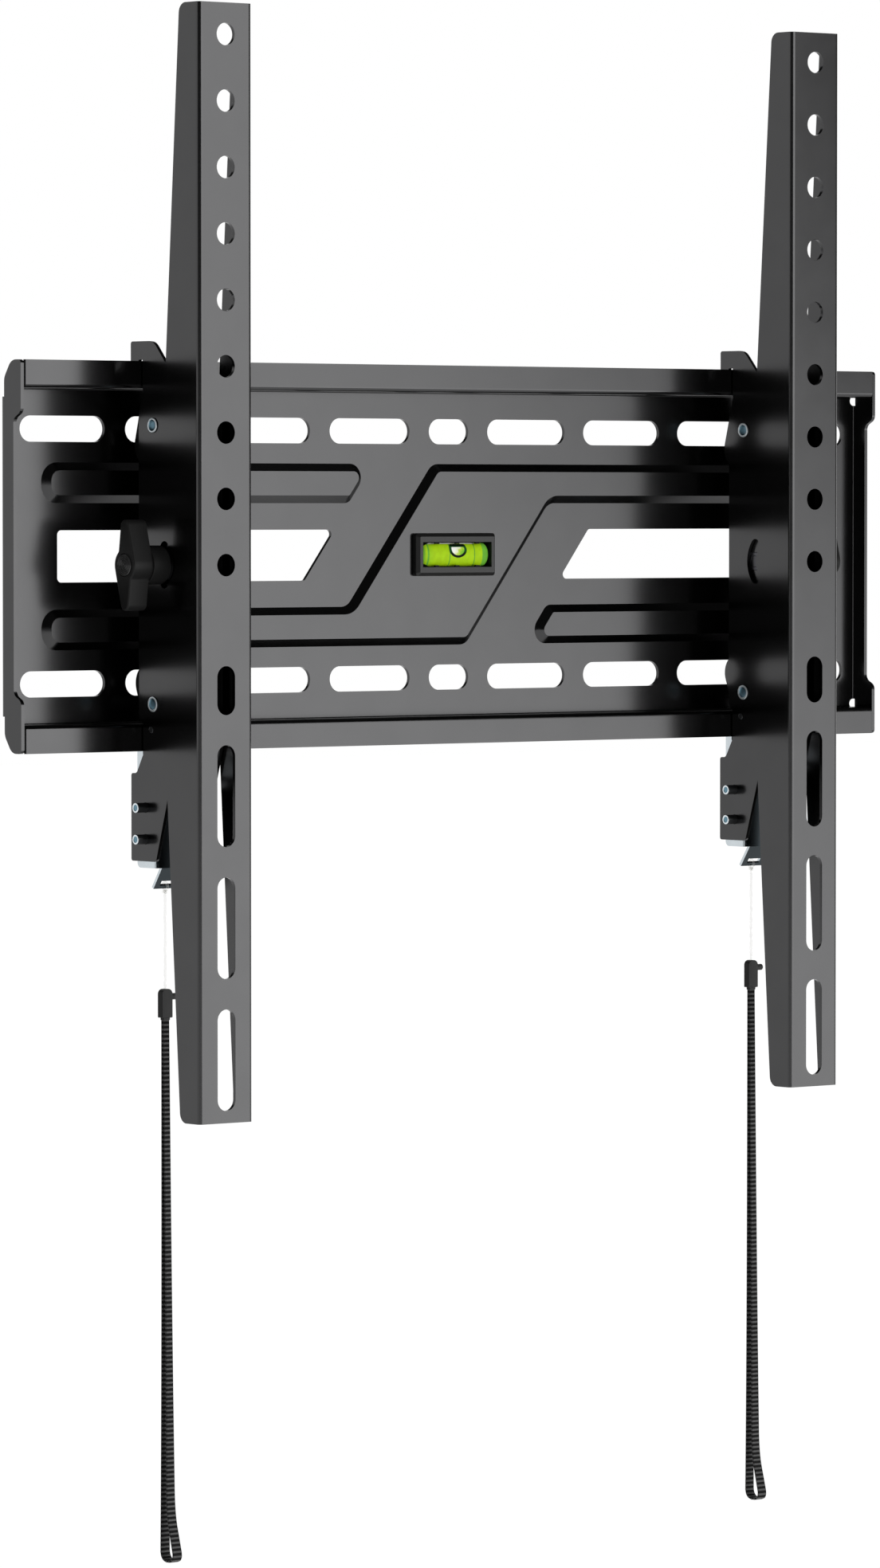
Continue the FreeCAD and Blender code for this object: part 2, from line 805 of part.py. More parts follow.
def knob_outline():
    # Two wings on a round waist. Each wing leaves the waist at a tangent on one side and
    # through a hollow on the other, and the second wing is the first turned half a turn.
    waist = knob_waist_radius
    tip = knob_tip_radius
    hollow = knob_hollow_radius
    reach = knob_length / 2.0 - tip

    def polar(radius, turn):
        return FreeCAD.Vector(radius * math.cos(turn), radius * math.sin(turn), 0)

    top = FreeCAD.Vector(0, reach, 0)
    tangent = math.pi - math.asin((waist - tip) / reach)
    lean = math.radians(knob_wing_lean)
    distance = reach * math.sin(lean) + tip + hollow
    climb = math.sqrt((waist + hollow) ** 2 - distance ** 2)
    centre = polar(distance, lean) + polar(climb, lean + math.pi / 2)
    bearing = math.atan2(centre.y, centre.x)
    between = (bearing + math.pi + lean + math.pi) / 2
    half = [
        (polar(waist, tangent), top + polar(tip, tangent)),
        (top + polar(tip, tangent), top + polar(tip, math.pi / 2), top + polar(tip, lean)),
        (top + polar(tip, lean), centre - polar(hollow, lean)),
        (centre - polar(hollow, lean), centre + polar(hollow, between), polar(waist, bearing)),
        (polar(waist, bearing), polar(waist, (bearing + tangent - math.pi) / 2),
         polar(waist, tangent - math.pi)),
    ]
    place = put_yz(0)
    edges = []
    for turn in (1, -1):
        for piece in half:
            ends = [place(knob_y + turn * p.x, tilt_z + turn * p.y) for p in piece]
            if len(ends) == 2:
                edges.append(Part.LineSegment(*ends).toShape())
            else:
                edges.append(Part.Arc(*ends).toShape())
    return Part.Wire(edges)


def make_knob():
    # Built on the +X side and turned over for a knob on the other side.
    foot = arm_width / 2.0 + clamp_gap + washer_thickness
    head = Part.Face(knob_outline())
    head.translate(FreeCAD.Vector(knob_neck_end, 0, 0))
    head = head.extrude(FreeCAD.Vector(knob_face - knob_neck_end, 0, 0))
    rim = [edge for edge in head.Edges
           if all(abs(v.Point.x - knob_face) < 1e-6 for v in edge.Vertexes)]
    head = head.makeFillet(knob_edge, rim)
    neck = bar(foot, knob_neck_end, knob_y, tilt_z, 2 * knob_neck_radius)
    knob = neck.fuse(head)
    knob = knob.cut(bar(foot - 1, knob_bore_end, knob_y, tilt_z, stud_diameter + 2 * pin_fit))
    for radius in groove_radii:
        ring = bar(knob_face - groove_depth, knob_face + 1, knob_y, tilt_z,
                   2 * radius + groove_width, 2 * radius - groove_width)
        knob = knob.cut(ring)
    return knob


def make_stud():
    return bar(-bracket_half(), knob_bore_end - pin_fit, knob_y, tilt_z, stud_diameter)


def make_washer():
    foot = arm_width / 2.0 + clamp_gap
    return bar(foot, foot + washer_thickness, knob_y, tilt_z, washer_diameter,
               stud_diameter + 2 * stud_gap)


def make_nut():
    # Clinch nut in the far flange: its hexagon is flush outside, its collar seats inside.
    outside = -bracket_half()
    nut = hexagon(nut_flats, outside, outside + nut_length)
    collar = bar(outside + sheet, outside + sheet + nut_collar_thickness, knob_y, tilt_z,
                 nut_collar_diameter)
    nut = nut.fuse(collar)
    return nut.cut(bar(outside - 1, outside + nut_length + 1, knob_y, tilt_z,
                       stud_diameter + 2 * nut_thread_gap))


def cord_loop_centre():
    return tongue_tip() - tongue_direction() * (tongue_strip / 2.0)


def cord_y():
    return cord_loop_centre().y


def ferrule_top():
    return tongue_tip().z - cord_drop


def make_pull_string():
    # A loop through the tongue's slot, a knot under it and a straight run to the ferrule.
    centre = cord_loop_centre()
    knot_z = centre.z - cord_loop_radius
    side = FreeCAD.Vector(0, cord_loop_radius, 0)
    section = wire_section(centre + side, FreeCAD.Vector(0, 0, 1), cord_diameter)
    loop = Part.Face(section).revolve(centre, FreeCAD.Vector(1, 0, 0), 360)
    middle = FreeCAD.Vector(0, centre.y, knot_z - knot_radius / 2.0)
    points = []
    for i in range(wire_sides + 1):
        turn = math.pi * i / wire_sides
        points.append(middle + FreeCAD.Vector(0, math.sin(turn), -math.cos(turn)) * knot_radius)
    profile = Part.Face(Part.makePolygon(points + [points[0]]))
    knot = profile.revolve(middle, FreeCAD.Vector(0, 0, 1), 360)
    start = FreeCAD.Vector(0, centre.y, ferrule_top())
    run = Part.Face(wire_section(start, FreeCAD.Vector(0, 0, 1), cord_diameter))
    run = run.extrude(FreeCAD.Vector(0, 0, knot_z - start.z))
    return loop.multiFuse([knot, run])


def make_ferrule():
    a = ferrule_width / 2.0
    high = ferrule_top()
    low = high - ferrule_length + ferrule_collar_length
    corners = [(-a, low, 0.3), (a, low, 0.3), (a, high, ferrule_corner),
               (-a, high, ferrule_corner)]
    half_depth = ferrule_depth / 2.0
    body = prism(corners, put_xz, cord_y() - half_depth, cord_y() + half_depth)
    collar = Part.makeBox(ferrule_collar_width, ferrule_collar_depth, ferrule_collar_length,
                          FreeCAD.Vector(-ferrule_collar_width / 2.0,
                                         cord_y() - ferrule_collar_depth / 2.0,
                                         low - ferrule_collar_length))
    return body.fuse(collar).removeSplitter()


def make_peg():
    start = ferrule_width / 2.0
    return bar(start, start + peg_length, cord_y(), ferrule_top() - peg_drop, peg_diameter)


def make_strap():
    # A flat strap folded double: straight behind, bowed forward into a loop at the bottom.
    top = ferrule_top() - ferrule_length
    spare_length = 2 * ferrule_length
    above = top + spare_length
    bottom = top - strap_drop
    rear = cord_y() + strap_thickness + strap_gap / 2.0
    front = cord_y() - strap_thickness - strap_gap / 2.0
    corners = [
        (rear, above, 0.0), (rear, bottom, strap_rear_radius),
        (rear - strap_loop_depth, bottom, strap_front_radius),
        (rear - strap_knee_depth, bottom + strap_knee_rise, strap_knee_radius),
        (front, top, 0.0), (front, above, 0.0),
    ]
    half = strap_width / 2.0
    strap = prism(corners, put_yz, -half, half)
    strap = strap.cut(prism(inset(corners, strap_thickness), put_yz, -half - 1, half + 1))
    spare = Part.makeBox(2 * strap_width, 2 * strap_loop_depth, 2 * spare_length,
                         FreeCAD.Vector(-strap_width, cord_y() - strap_loop_depth, top))
    strap = strap.cut(spare)
    radii = (strap_rear_radius, strap_front_radius, strap_knee_radius)
    length = strap.Volume / (strap_width * strap_thickness)
    print("strap: outer radii", radii, "length", round(length, 1))
    return strap


def flipped(shape):
    # Turned end for end about the upright axis through the arm's middle, side to side only.
    return shape.mirror(FreeCAD.Vector(0, 0, 0), FreeCAD.Vector(1, 0, 0))


def save(shape, name, x=0.0):
    placed = shape.copy()
    placed.translate(FreeCAD.Vector(x, 0, 0))
    placed.exportStep("parts/" + name + ".step")
    state = "valid" if placed.isValid() else "NOT VALID"
    print(name, len(placed.Solids), "solid", round(placed.Volume / 1000.0, 2), "cm3", state)


save(make_wall_plate(), "wall_plate")
save(make_level_housing(), "level_housing")
save(make_level_vial(), "level_vial")

arm = make_arm()
latch = make_latch()
spring = make_spring()
string = make_pull_string()
ferrule = make_ferrule()
peg = make_peg()
strap = make_strap()
knob_set = (("knob", make_knob()), ("knob_stud", make_stud()), ("knob_washer", make_washer()),
            ("clamp_nut", make_nut()))

# The knobs stand on the outer side of each arm.
for side, knob_side in (("left", -1), ("right", 1)):
    x = knob_side * arm_spacing / 2.0
    save(arm, side + "_arm", x)
    save(make_bracket(knob_side), side + "_bracket", x)
    save(make_arm_pin(1), side + "_upper_arm_pin", x)
    save(make_arm_pin(-1), side + "_lower_arm_pin", x)
    for level, z in zip(("upper", "lower"), latch_pin_heights()):
        save(make_latch_pin(z), side + "_" + level + "_latch_pin", x)
    save(make_anchor_pin(), side + "_spring_anchor", x)
    save(spring, side + "_latch_spring", x)
    save(latch, side + "_latch", x)
    for name, shape in knob_set:
        save(shape if knob_side > 0 else flipped(shape), side + "_" + name, x)
    save(string, side + "_pull_string", x)
    save(ferrule, side + "_ferrule", x)
    save(peg, side + "_ferrule_peg", x)
    save(strap, side + "_strap", x)
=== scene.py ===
import json
import math

import bmesh
import bpy
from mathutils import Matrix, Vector


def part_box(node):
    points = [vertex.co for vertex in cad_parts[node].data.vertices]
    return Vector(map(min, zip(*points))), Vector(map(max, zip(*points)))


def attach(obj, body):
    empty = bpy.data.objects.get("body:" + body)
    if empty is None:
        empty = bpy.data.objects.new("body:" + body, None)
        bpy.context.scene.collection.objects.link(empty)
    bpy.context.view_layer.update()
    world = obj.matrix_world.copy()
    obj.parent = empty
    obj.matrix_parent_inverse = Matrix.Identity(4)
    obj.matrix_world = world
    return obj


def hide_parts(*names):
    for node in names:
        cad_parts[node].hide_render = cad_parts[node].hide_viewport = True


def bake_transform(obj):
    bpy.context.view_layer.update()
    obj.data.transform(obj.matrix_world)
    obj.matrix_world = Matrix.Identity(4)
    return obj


# A tilting wall mount for a television: metres, +X right, +Y into the wall, +Z up.
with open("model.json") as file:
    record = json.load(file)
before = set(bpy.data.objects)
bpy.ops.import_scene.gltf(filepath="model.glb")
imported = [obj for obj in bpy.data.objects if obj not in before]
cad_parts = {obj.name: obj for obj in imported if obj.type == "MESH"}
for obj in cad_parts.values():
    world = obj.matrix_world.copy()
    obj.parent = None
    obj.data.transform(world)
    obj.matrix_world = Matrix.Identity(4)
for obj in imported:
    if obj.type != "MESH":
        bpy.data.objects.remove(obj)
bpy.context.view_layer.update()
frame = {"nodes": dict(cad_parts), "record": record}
scene = bpy.context.scene
sides = {"left": -0.150, "right": 0.150}  # X of each arm's middle
bodyOf = {node: body for body, nodes in frame["record"]["behaviour"]["bodies"].items() for node in nodes}
slotOf = {part["node"]: part["material_slot"] for part in frame["record"]["subparts"]}
print("frame loaded:", len(frame["nodes"]), "nodes")


# camera, room and lights
cameraSettings = {
    "place": (-1.9872, -2.3998, 0.0193),
    "lookDown": 2.021,  # degrees below the horizon
    "heading": -39.583,  # degrees, 0 looks along +Y
    "lens": 181.2,
    "sensor": 36.0,
    "reach": 100.0,  # the farthest that the camera sees
}

roomSettings = {
    "floorHeight": -0.9,
    "floorSize": 40.0,
    "floorColour": (0.82, 0.82, 0.82),
    "floorGlow": 0.9,  # share of the floor's whiteness that no shadow takes
    "floorWhite": 1.08,  # strength of that share
    "white": 1.0,
    "dark": 0.03,
    "daylight": 0.55,  # strength of the light that falls on matt surfaces
    "whiteFrom": -0.30,  # Y of a ray's direction where the room turns from dark to white
    "whiteTo": 0.05,
    "skyFrom": 0.62,  # Z of a ray's direction where the room is dark overhead
    "skyTo": 0.30,
    "lowFrom": -0.25,  # Z of a ray's direction where the room is white below
    "lowTo": -0.05,
}

cardSettings = {
    "strength": 2.95,
    "left": -0.25,
    "right": 2.75,
    "bottom": -1.05,
    "top": 0.85,
    "distance": -2.05,  # Y of the card
    "fadeRight": 1.80,  # X beyond which the upper part of the card fades
    "fadeWidth": 0.40,
    "fadeTop": 0.42,
    "fadeBottom": -0.45,
}


def makeCamera():
    camera = bpy.data.cameras.new("camera")
    camera.lens = cameraSettings["lens"]
    camera.sensor_width = cameraSettings["sensor"]
    camera.clip_end = cameraSettings["reach"]
    holder = bpy.data.objects.new("camera", camera)
    holder.location = cameraSettings["place"]
    holder.rotation_euler = (
        math.radians(90.0 - cameraSettings["lookDown"]), 0.0, math.radians(cameraSettings["heading"]))
    scene.collection.objects.link(holder)
    scene.camera = holder


def addNode(nodes, kind, **values):
    node = nodes.new(kind)
    for name, value in values.items():
        setattr(node, name, value)
    return node


def feed(links, socket, value):
    # a socket takes a number, a colour, or what another socket gives
    if isinstance(value, bpy.types.NodeSocket):
        links.new(value, socket)
    elif isinstance(value, tuple):
        socket.default_value = value + (1.0,)
    else:
        socket.default_value = value


def calculate(nodes, links, operation, *values):
    node = addNode(nodes, "ShaderNodeMath", operation=operation)
    for socket, value in zip(node.inputs, values):
        feed(links, socket, value)
    return node.outputs[0]


def rampBetween(nodes, links, source, start, end, low=0.0, high=1.0, kind="SMOOTHSTEP"):
    ramp = addNode(nodes, "ShaderNodeMapRange", interpolation_type=kind)
    links.new(source, ramp.inputs["Value"])
    ramp.inputs["From Min"].default_value = start
    ramp.inputs["From Max"].default_value = end
    ramp.inputs["To Min"].default_value = low
    ramp.inputs["To Max"].default_value = high
    return ramp.outputs["Result"]


def mixColours(nodes, links, factor, first, second, blend="MIX"):
    mix = addNode(nodes, "ShaderNodeMix", data_type="RGBA", blend_type=blend)
    for label, value in (("Factor", factor), ("A", first), ("B", second)):
        feed(links, mix.inputs[label], value)
    return mix.outputs["Result"]


def colourRamp(nodes, links, source, stops):
    tint = nodes.new("ShaderNodeValToRGB")
    elements = tint.color_ramp.elements
    while len(elements) > 1:
        elements.remove(elements[-1])
    for i, (place, colour) in enumerate(stops):
        element = elements[0] if i == 0 else elements.new(place)
        element.position = place
        element.color = colour + (1.0,)
    links.new(source, tint.inputs[0])
    return tint.outputs["Color"]


def makeNoise(nodes, links, coords, scale, detail=2.0):
    noise = nodes.new("ShaderNodeTexNoise")
    noise.inputs["Scale"].default_value = scale
    noise.inputs["Detail"].default_value = detail
    links.new(coords, noise.inputs["Vector"])
    return noise.outputs["Fac"]


def readAxes(nodes, links, source="Object"):
    # coordinates whole, and their X, Y and Z apart
    coords = nodes.new("ShaderNodeTexCoord").outputs[source]
    parts = nodes.new("ShaderNodeSeparateXYZ")
    links.new(coords, parts.inputs[0])
    return coords, parts.outputs


def rayKinds(nodes, links):
    # 1 for a ray that is mirrored or passes through, and 1 for the camera's own
    rays = nodes.new("ShaderNodeLightPath").outputs
    mirror = calculate(nodes, links, "MAXIMUM", rays["Is Glossy Ray"], rays["Is Transmission Ray"])
    return mirror, rays["Is Camera Ray"]


def newMaterial(name):
    material = bpy.data.materials.new(name)
    material.use_nodes = True
    return material, material.node_tree.nodes, material.node_tree.links


def makeWorld():
    # what a surface mirrors: white behind the mount and below it, dark in front and overhead
    room = roomSettings
    world = bpy.data.worlds.new("studio")
    scene.world = world
    world.use_nodes = True
    nodes = world.node_tree.nodes
    links = world.node_tree.links
    nodes.clear()
    output = nodes.new("ShaderNodeOutputWorld")
    axes = readAxes(nodes, links, "Generated")[1]
    behind = rampBetween(nodes, links, axes["Y"], room["whiteFrom"], room["whiteTo"])
    below = rampBetween(nodes, links, axes["Z"], room["skyTo"], room["skyFrom"], 1.0, 0.0)
    lit = calculate(nodes, links, "MULTIPLY", behind, below)
    floorSide = rampBetween(nodes, links, axes["Z"], room["lowFrom"], room["lowTo"], 1.0, 0.0)
    lit = calculate(nodes, links, "MAXIMUM", lit, floorSide)
    shine = rampBetween(nodes, links, lit, 0.0, 1.0, room["dark"], room["white"])
    mirror, camera = rayKinds(nodes, links)
    matt = calculate(nodes, links, "SUBTRACT", 1.0, mirror)
    soft = calculate(nodes, links, "MULTIPLY", matt, room["daylight"])
    strength = calculate(nodes, links, "MULTIPLY_ADD", shine, mirror, soft)
    background = nodes.new("ShaderNodeBackground")
    feed(links, background.inputs["Color"], (1.0, 1.0, 1.0))
    feed(links, background.inputs["Strength"], calculate(nodes, links, "MAXIMUM", strength, camera))
    links.new(background.outputs[0], output.inputs[0])


def flatSheet(name, corners):
    mesh = bpy.data.meshes.new(name)
    mesh.from_pydata(corners, [], [tuple(range(len(corners)))])
    piece = bpy.data.objects.new(name, mesh)
    scene.collection.objects.link(piece)
    return piece


def makeFloor():
    half = roomSettings["floorSize"] / 2.0
    z = roomSettings["floorHeight"]
    floor = flatSheet("floor", [(-half, -half, z), (half, -half, z), (half, half, z), (-half, half, z)])
    material, nodes, links = newMaterial("pale_floor")
    nodes.clear()
    output = nodes.new("ShaderNodeOutputMaterial")
    matt = nodes.new("ShaderNodeBsdfDiffuse")
    feed(links, matt.inputs["Color"], roomSettings["floorColour"])
    glow = nodes.new("ShaderNodeEmission")
    feed(links, glow.inputs["Color"], (1.0, 1.0, 1.0))
    feed(links, glow.inputs["Strength"], roomSettings["floorWhite"])
    seen = calculate(nodes, links, "MAXIMUM", *rayKinds(nodes, links))
    mix = nodes.new("ShaderNodeMixShader")
    links.new(calculate(nodes, links, "MULTIPLY", seen, roomSettings["floorGlow"]), mix.inputs[0])
    links.new(matt.outputs[0], mix.inputs[1])
    links.new(glow.outputs[0], mix.inputs[2])
    links.new(mix.outputs[0], output.inputs[0])
    floor.data.materials.append(material)


def makeCard():
    # a wide soft card in front, whose upper right part fades
    card = cardSettings
    y = card["distance"]
    piece = flatSheet("soft_card", [
        (card["left"], y, card["bottom"]), (card["left"], y, card["top"]),
        (card["right"], y, card["top"]), (card["right"], y, card["bottom"])])
    piece.visible_camera = False
    material, nodes, links = newMaterial("soft_card")
    nodes.clear()
    output = nodes.new("ShaderNodeOutputMaterial")
    axes = readAxes(nodes, links)[1]
    start = card["fadeRight"] - card["fadeWidth"] / 2.0
    across = rampBetween(nodes, links, axes["X"], start, start + card["fadeWidth"])
    up = rampBetween(nodes, links, axes["Z"], card["fadeBottom"], card["fadeTop"])
    loss = calculate(nodes, links, "MULTIPLY", across, up)
    share = rampBetween(nodes, links, loss, 0.0, 1.0, card["strength"], 0.0)
    glow = nodes.new("ShaderNodeEmission")
    links.new(share, glow.inputs["Strength"])
    links.new(glow.outputs[0], output.inputs[0])
    piece.data.materials.append(material)


makeCamera()
makeWorld()
makeFloor()
makeCard()
scene.view_settings.view_transform = "Standard"
print("camera, room and card made")


# finishes
finishes = {
    "black_powder_coat": {
        "colour": (0.066, 0.066, 0.067), "metallic": 1.0, "roughness": 0.195, "specular": 0.5,
        "grain": 1400.0, "grainDepth": 1.6e-6, "mottle": 60.0, "mottleShare": 0.05, "roughShare": 0.10},
    "level_black": {
        "colour": (0.012, 0.012, 0.012), "metallic": 0.0, "roughness": 0.30, "specular": 0.32,
        "grain": 2500.0, "grainDepth": 2.0e-6, "mottle": 200.0, "mottleShare": 0.06, "roughShare": 0.10},
    "knob_black": {
        "colour": (0.011, 0.011, 0.011), "metallic": 0.0, "roughness": 0.42, "specular": 0.14,
        "grain": 2500.0, "grainDepth": 3.0e-6, "mottle": 200.0, "mottleShare": 0.08, "roughShare": 0.10},
    "knob_rings": {
        "colour": (0.032, 0.032, 0.032), "metallic": 0.0, "roughness": 0.28, "specular": 0.60,
        "grain": 2500.0, "grainDepth": 1.0e-6, "mottle": 200.0, "mottleShare": 0.08, "roughShare": 0.10},
    # ferrule_black: faces that look sideways are painted darker than the rest, painted shade
    "ferrule_black": {
        "lightTones": [(0.0, (0.058, 0.058, 0.058)), (1.0, (0.012, 0.012, 0.012))],
        "metallic": 0.0, "roughness": 0.40, "specular": 0.10,
        "grain": 2500.0, "grainDepth": 3.0e-6, "mottle": 300.0, "mottleShare": 0.08, "roughShare": 0.10},
    "strap_black": {
        "colour": (0.055, 0.055, 0.055), "metallic": 0.0, "roughness": 0.45, "specular": 0.35,
        "grain": 3500.0, "grainDepth": 6.0e-6, "mottle": 500.0, "mottleShare": 0.15, "roughShare": 0.10},
    # near black with little gloss: painted shade in the strap's grooves between its ribs and in the notches
    # of the level's window
    "painted_shade_black": {
        "colour": (0.008, 0.008, 0.008), "metallic": 0.0, "roughness": 0.60, "specular": 0.06,
        "grain": 3500.0, "grainDepth": 3.0e-6, "mottle": 500.0, "mottleShare": 0.15, "roughShare": 0.10},
    # zinc_plate: flats take a dark colour, painted shade; faces that look sideways keep the zinc's pale
    # colour
    "zinc_plate": {
        "lightTones": [(0.0, (0.040, 0.049, 0.054)), (1.0, (0.58, 0.63, 0.66))],
        "metallic": 1.0, "roughness": 0.24, "specular": 0.5,
        "grain": 900.0, "grainDepth": 2.0e-6, "mottle": 120.0, "mottleShare": 0.10, "roughShare": 0.20},
    # zinc_pin: the dark barrel is painted shade and the bluish hollow a painted reflection; the pale ring is
    # the zinc's own colour
    "zinc_pin": {
        "lightTones": [(0.0, (0.12, 0.125, 0.13)), (0.5, (0.15, 0.27, 0.34)), (1.0, (0.76, 0.82, 0.85))],
        "metallic": 1.0, "roughness": 0.42, "specular": 0.5,
        "grain": 1500.0, "grainDepth": 1.5e-6, "mottle": 200.0, "mottleShare": 0.10, "roughShare": 0.20},
    "stud_steel": {
        "colour": (0.075, 0.075, 0.08), "metallic": 1.0, "roughness": 0.30, "specular": 0.5,
        "grain": 1500.0, "grainDepth": 1.5e-6, "mottle": 200.0, "mottleShare": 0.10, "roughShare": 0.20},
    "nut_steel": {
        "colour": (0.10, 0.10, 0.11), "metallic": 1.0, "roughness": 0.35, "specular": 0.5,
        "grain": 1500.0, "grainDepth": 2.5e-6, "mottle": 200.0, "mottleShare": 0.12, "roughShare": 0.20},
    "spring_steel": {
        "colour": (0.45, 0.46, 0.48), "metallic": 1.0, "roughness": 0.28, "specular": 0.5,
        "grain": 2500.0, "grainDepth": 1.5e-6, "mottle": 400.0, "mottleShare": 0.10, "roughShare": 0.20},
    "pale_cord": {
        "colour": (0.97, 0.97, 0.96), "metallic": 0.0, "roughness": 0.50, "specular": 0.20,
        "transmission": 0.90, "ior": 1.03,
        "grain": 5000.0, "grainDepth": 2.0e-5, "mottle": 900.0, "mottleShare": 0.05, "roughShare": 0.10},
}

mottleDetail = 4.0  # octaves of the mottling, twice those of the grain


def makeFinish(name, finish):
    # an even coat with slight mottling of its tone and gloss, and a fine grain
    material, nodes, links = newMaterial(name)
    shader = nodes["Principled BSDF"]
    for label, key in (("Metallic", "metallic"), ("Specular IOR Level", "specular"),
                       ("Transmission Weight", "transmission"), ("IOR", "ior")):
        if key in finish:
            shader.inputs[label].default_value = finish[key]
    coords = nodes.new("ShaderNodeTexCoord").outputs["Object"]
    mottle = makeNoise(nodes, links, coords, finish["mottle"], mottleDetail)
    if "lightTones" in finish:  # painted light and shade: each face takes a lit or a shaded colour, as its tone says
        marks = addNode(nodes, "ShaderNodeAttribute", attribute_name="tone")
        base = colourRamp(nodes, links, marks.outputs["Fac"], finish["lightTones"])
    else:
        base = finish["colour"]
    share = finish["mottleShare"]
    shade = rampBetween(nodes, links, mottle, 0.0, 1.0, 1.0 - share, 1.0 + share)
    links.new(mixColours(nodes, links, 1.0, base, shade, "MULTIPLY"), shader.inputs["Base Color"])
    smooth = finish["roughness"] * (1.0 - finish["roughShare"])
    rough = finish["roughness"] * (1.0 + finish["roughShare"])
    gloss = rampBetween(nodes, links, mottle, 0.0, 1.0, smooth, rough, "LINEAR")
    links.new(gloss, shader.inputs["Roughness"])
    bump = nodes.new("ShaderNodeBump")
    bump.inputs["Distance"].default_value = finish["grainDepth"]
    links.new(makeNoise(nodes, links, coords, finish["grain"]), bump.inputs["Height"])
    links.new(bump.outputs["Normal"], shader.inputs["Normal"])
    return material


materials = {name: makeFinish(name, finish) for name, finish in finishes.items()}
print("finishes made:", len(materials))


# shared tools for pieces
mm = 0.001  # in metres
weld = 1.0e-6  # corners closer than this are merged
flatAngle = math.radians(0.6)  # faces within this angle are one flat
edgeAngle = math.radians(24.0)  # edges beyond this angle are rounded
cutAngle = math.radians(75.0)  # edges beyond this angle are cut ones, not pressed
roundAngle = 50.0  # degrees up to which neighbouring faces shade as one round
sidewaysShare = 0.7  # X of a face's normal from which it faces sideways


def linkPiece(name, mesh):
    piece = bpy.data.objects.new(name, mesh)
    scene.collection.objects.link(piece)
    return piece


def placePiece(piece, node, material=None):
    # a piece that stands for a node takes its body, its slot and its finish
    slot = slotOf[node]
    piece.data.materials.clear()
    piece.data.materials.append(material or materials[slot])
    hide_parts(node)
    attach(piece, bodyOf[node])
    return piece


def evaluatedMesh(piece):
    graph = bpy.context.evaluated_depsgraph_get()
    return bpy.data.meshes.new_from_object(piece.evaluated_get(graph), depsgraph=graph)


def bakeModifiers(piece):
    # a plain mesh of the piece as its modifiers leave it
    mesh = evaluatedMesh(piece)
    piece.modifiers.clear()
    old = piece.data
    piece.data = mesh
    mesh.name = piece.name
    bpy.data.meshes.remove(old)


# each face's tone, by which its finish paints it lit or shaded: painted light and shade
def paintLightTones(mesh, rule):
    lightTones = mesh.attributes.new("tone", "FLOAT", "FACE")
    for face in mesh.polygons:
        lightTones.data[face.index].value = rule(face)


# 1 for a face that looks sideways, 0 for the rest: which painted light or shade it takes
def sidewaysLightTone(face):
    return 1.0 if abs(face.normal.x) > sidewaysShare else 0.0


def meshFrom(name, corners, faces, smoothAngle=None):
    mesh = bpy.data.meshes.new(name)
    mesh.from_pydata(corners, [], faces)
    work = bmesh.new()
    work.from_mesh(mesh)
    bmesh.ops.remove_doubles(work, verts=work.verts, dist=weld)
    bmesh.ops.recalc_face_normals(work, faces=work.faces)
    work.to_mesh(mesh)
    work.free()
    if smoothAngle is not None:
        mesh.shade_smooth()
        mesh.set_sharp_from_angle(angle=math.radians(smoothAngle))
    return mesh


def ringFaces(rows, steps):
    # four-sided faces between rows of rings
    faces = []
    for row in range(rows):
        for i in range(steps):
            after = (i + 1) % steps
            faces.append((row * steps + i, row * steps + after, (row + 1) * steps + after,
                          (row + 1) * steps + i))
    return faces


def turnedMesh(name, profile, centre, side, steps=40, smoothAngle=roundAngle):
    # a profile of (outward, radius) pairs turned about an axis along X
    corners = []
    for outward, radius in profile:
        for i in range(steps):
            turn = 2.0 * math.pi * i / steps
            corners.append((centre[0] + side * outward, centre[1] + radius * math.cos(turn),
                            centre[2] + radius * math.sin(turn)))
    return meshFrom(name, corners, ringFaces(len(profile) - 1, steps), smoothAngle)


def curveLine(name, points, thickness=0.0, closed=False):
    # a smooth line through a route, round in section if it has a thickness
    curve = bpy.data.curves.new(name, "CURVE")
    curve.dimensions = "3D"
    curve.resolution_u = 12
    curve.bevel_depth = thickness / 2.0
    curve.bevel_resolution = 3
    curve.use_fill_caps = not closed
    spline = curve.splines.new("NURBS")
    spline.points.add(len(points) - 1)
    for point, place in zip(spline.points, points):
        point.co = (place[0], place[1], place[2], 1.0)
    spline.order_u = 3
    spline.use_endpoint_u = not closed
    spline.use_cyclic_u = closed
    return linkPiece(name, curve)


def tubePiece(name, points, thickness, closed=False):
    line = curveLine(name, points, thickness, closed)
    mesh = evaluatedMesh(line)
    bpy.data.objects.remove(line)
    mesh.shade_smooth()
    return linkPiece(name, mesh)


def linePoints(name, points):
    line = curveLine(name, points)
    mesh = evaluatedMesh(line)
    places = [vertex.co.copy() for vertex in mesh.vertices]
    bpy.data.objects.remove(line)
    bpy.data.meshes.remove(mesh)
    return places


def newTree(name, inputs):
    # an empty tree, its named inputs, and each input's own identifier
    tree = bpy.data.node_groups.new(name, "GeometryNodeTree")
    tree.interface.new_socket("Geometry", in_out="OUTPUT", socket_type="NodeSocketGeometry")
    tree.interface.new_socket("Geometry", in_out="INPUT", socket_type="NodeSocketGeometry")
    identifiers = {}
    for label, kind in inputs.items():
        identifiers[label] = tree.interface.new_socket(label, in_out="INPUT", socket_type=kind).identifier
    given = tree.nodes.new("NodeGroupInput")
    result = tree.nodes.new("NodeGroupOutput")
    return tree, identifiers, given, result


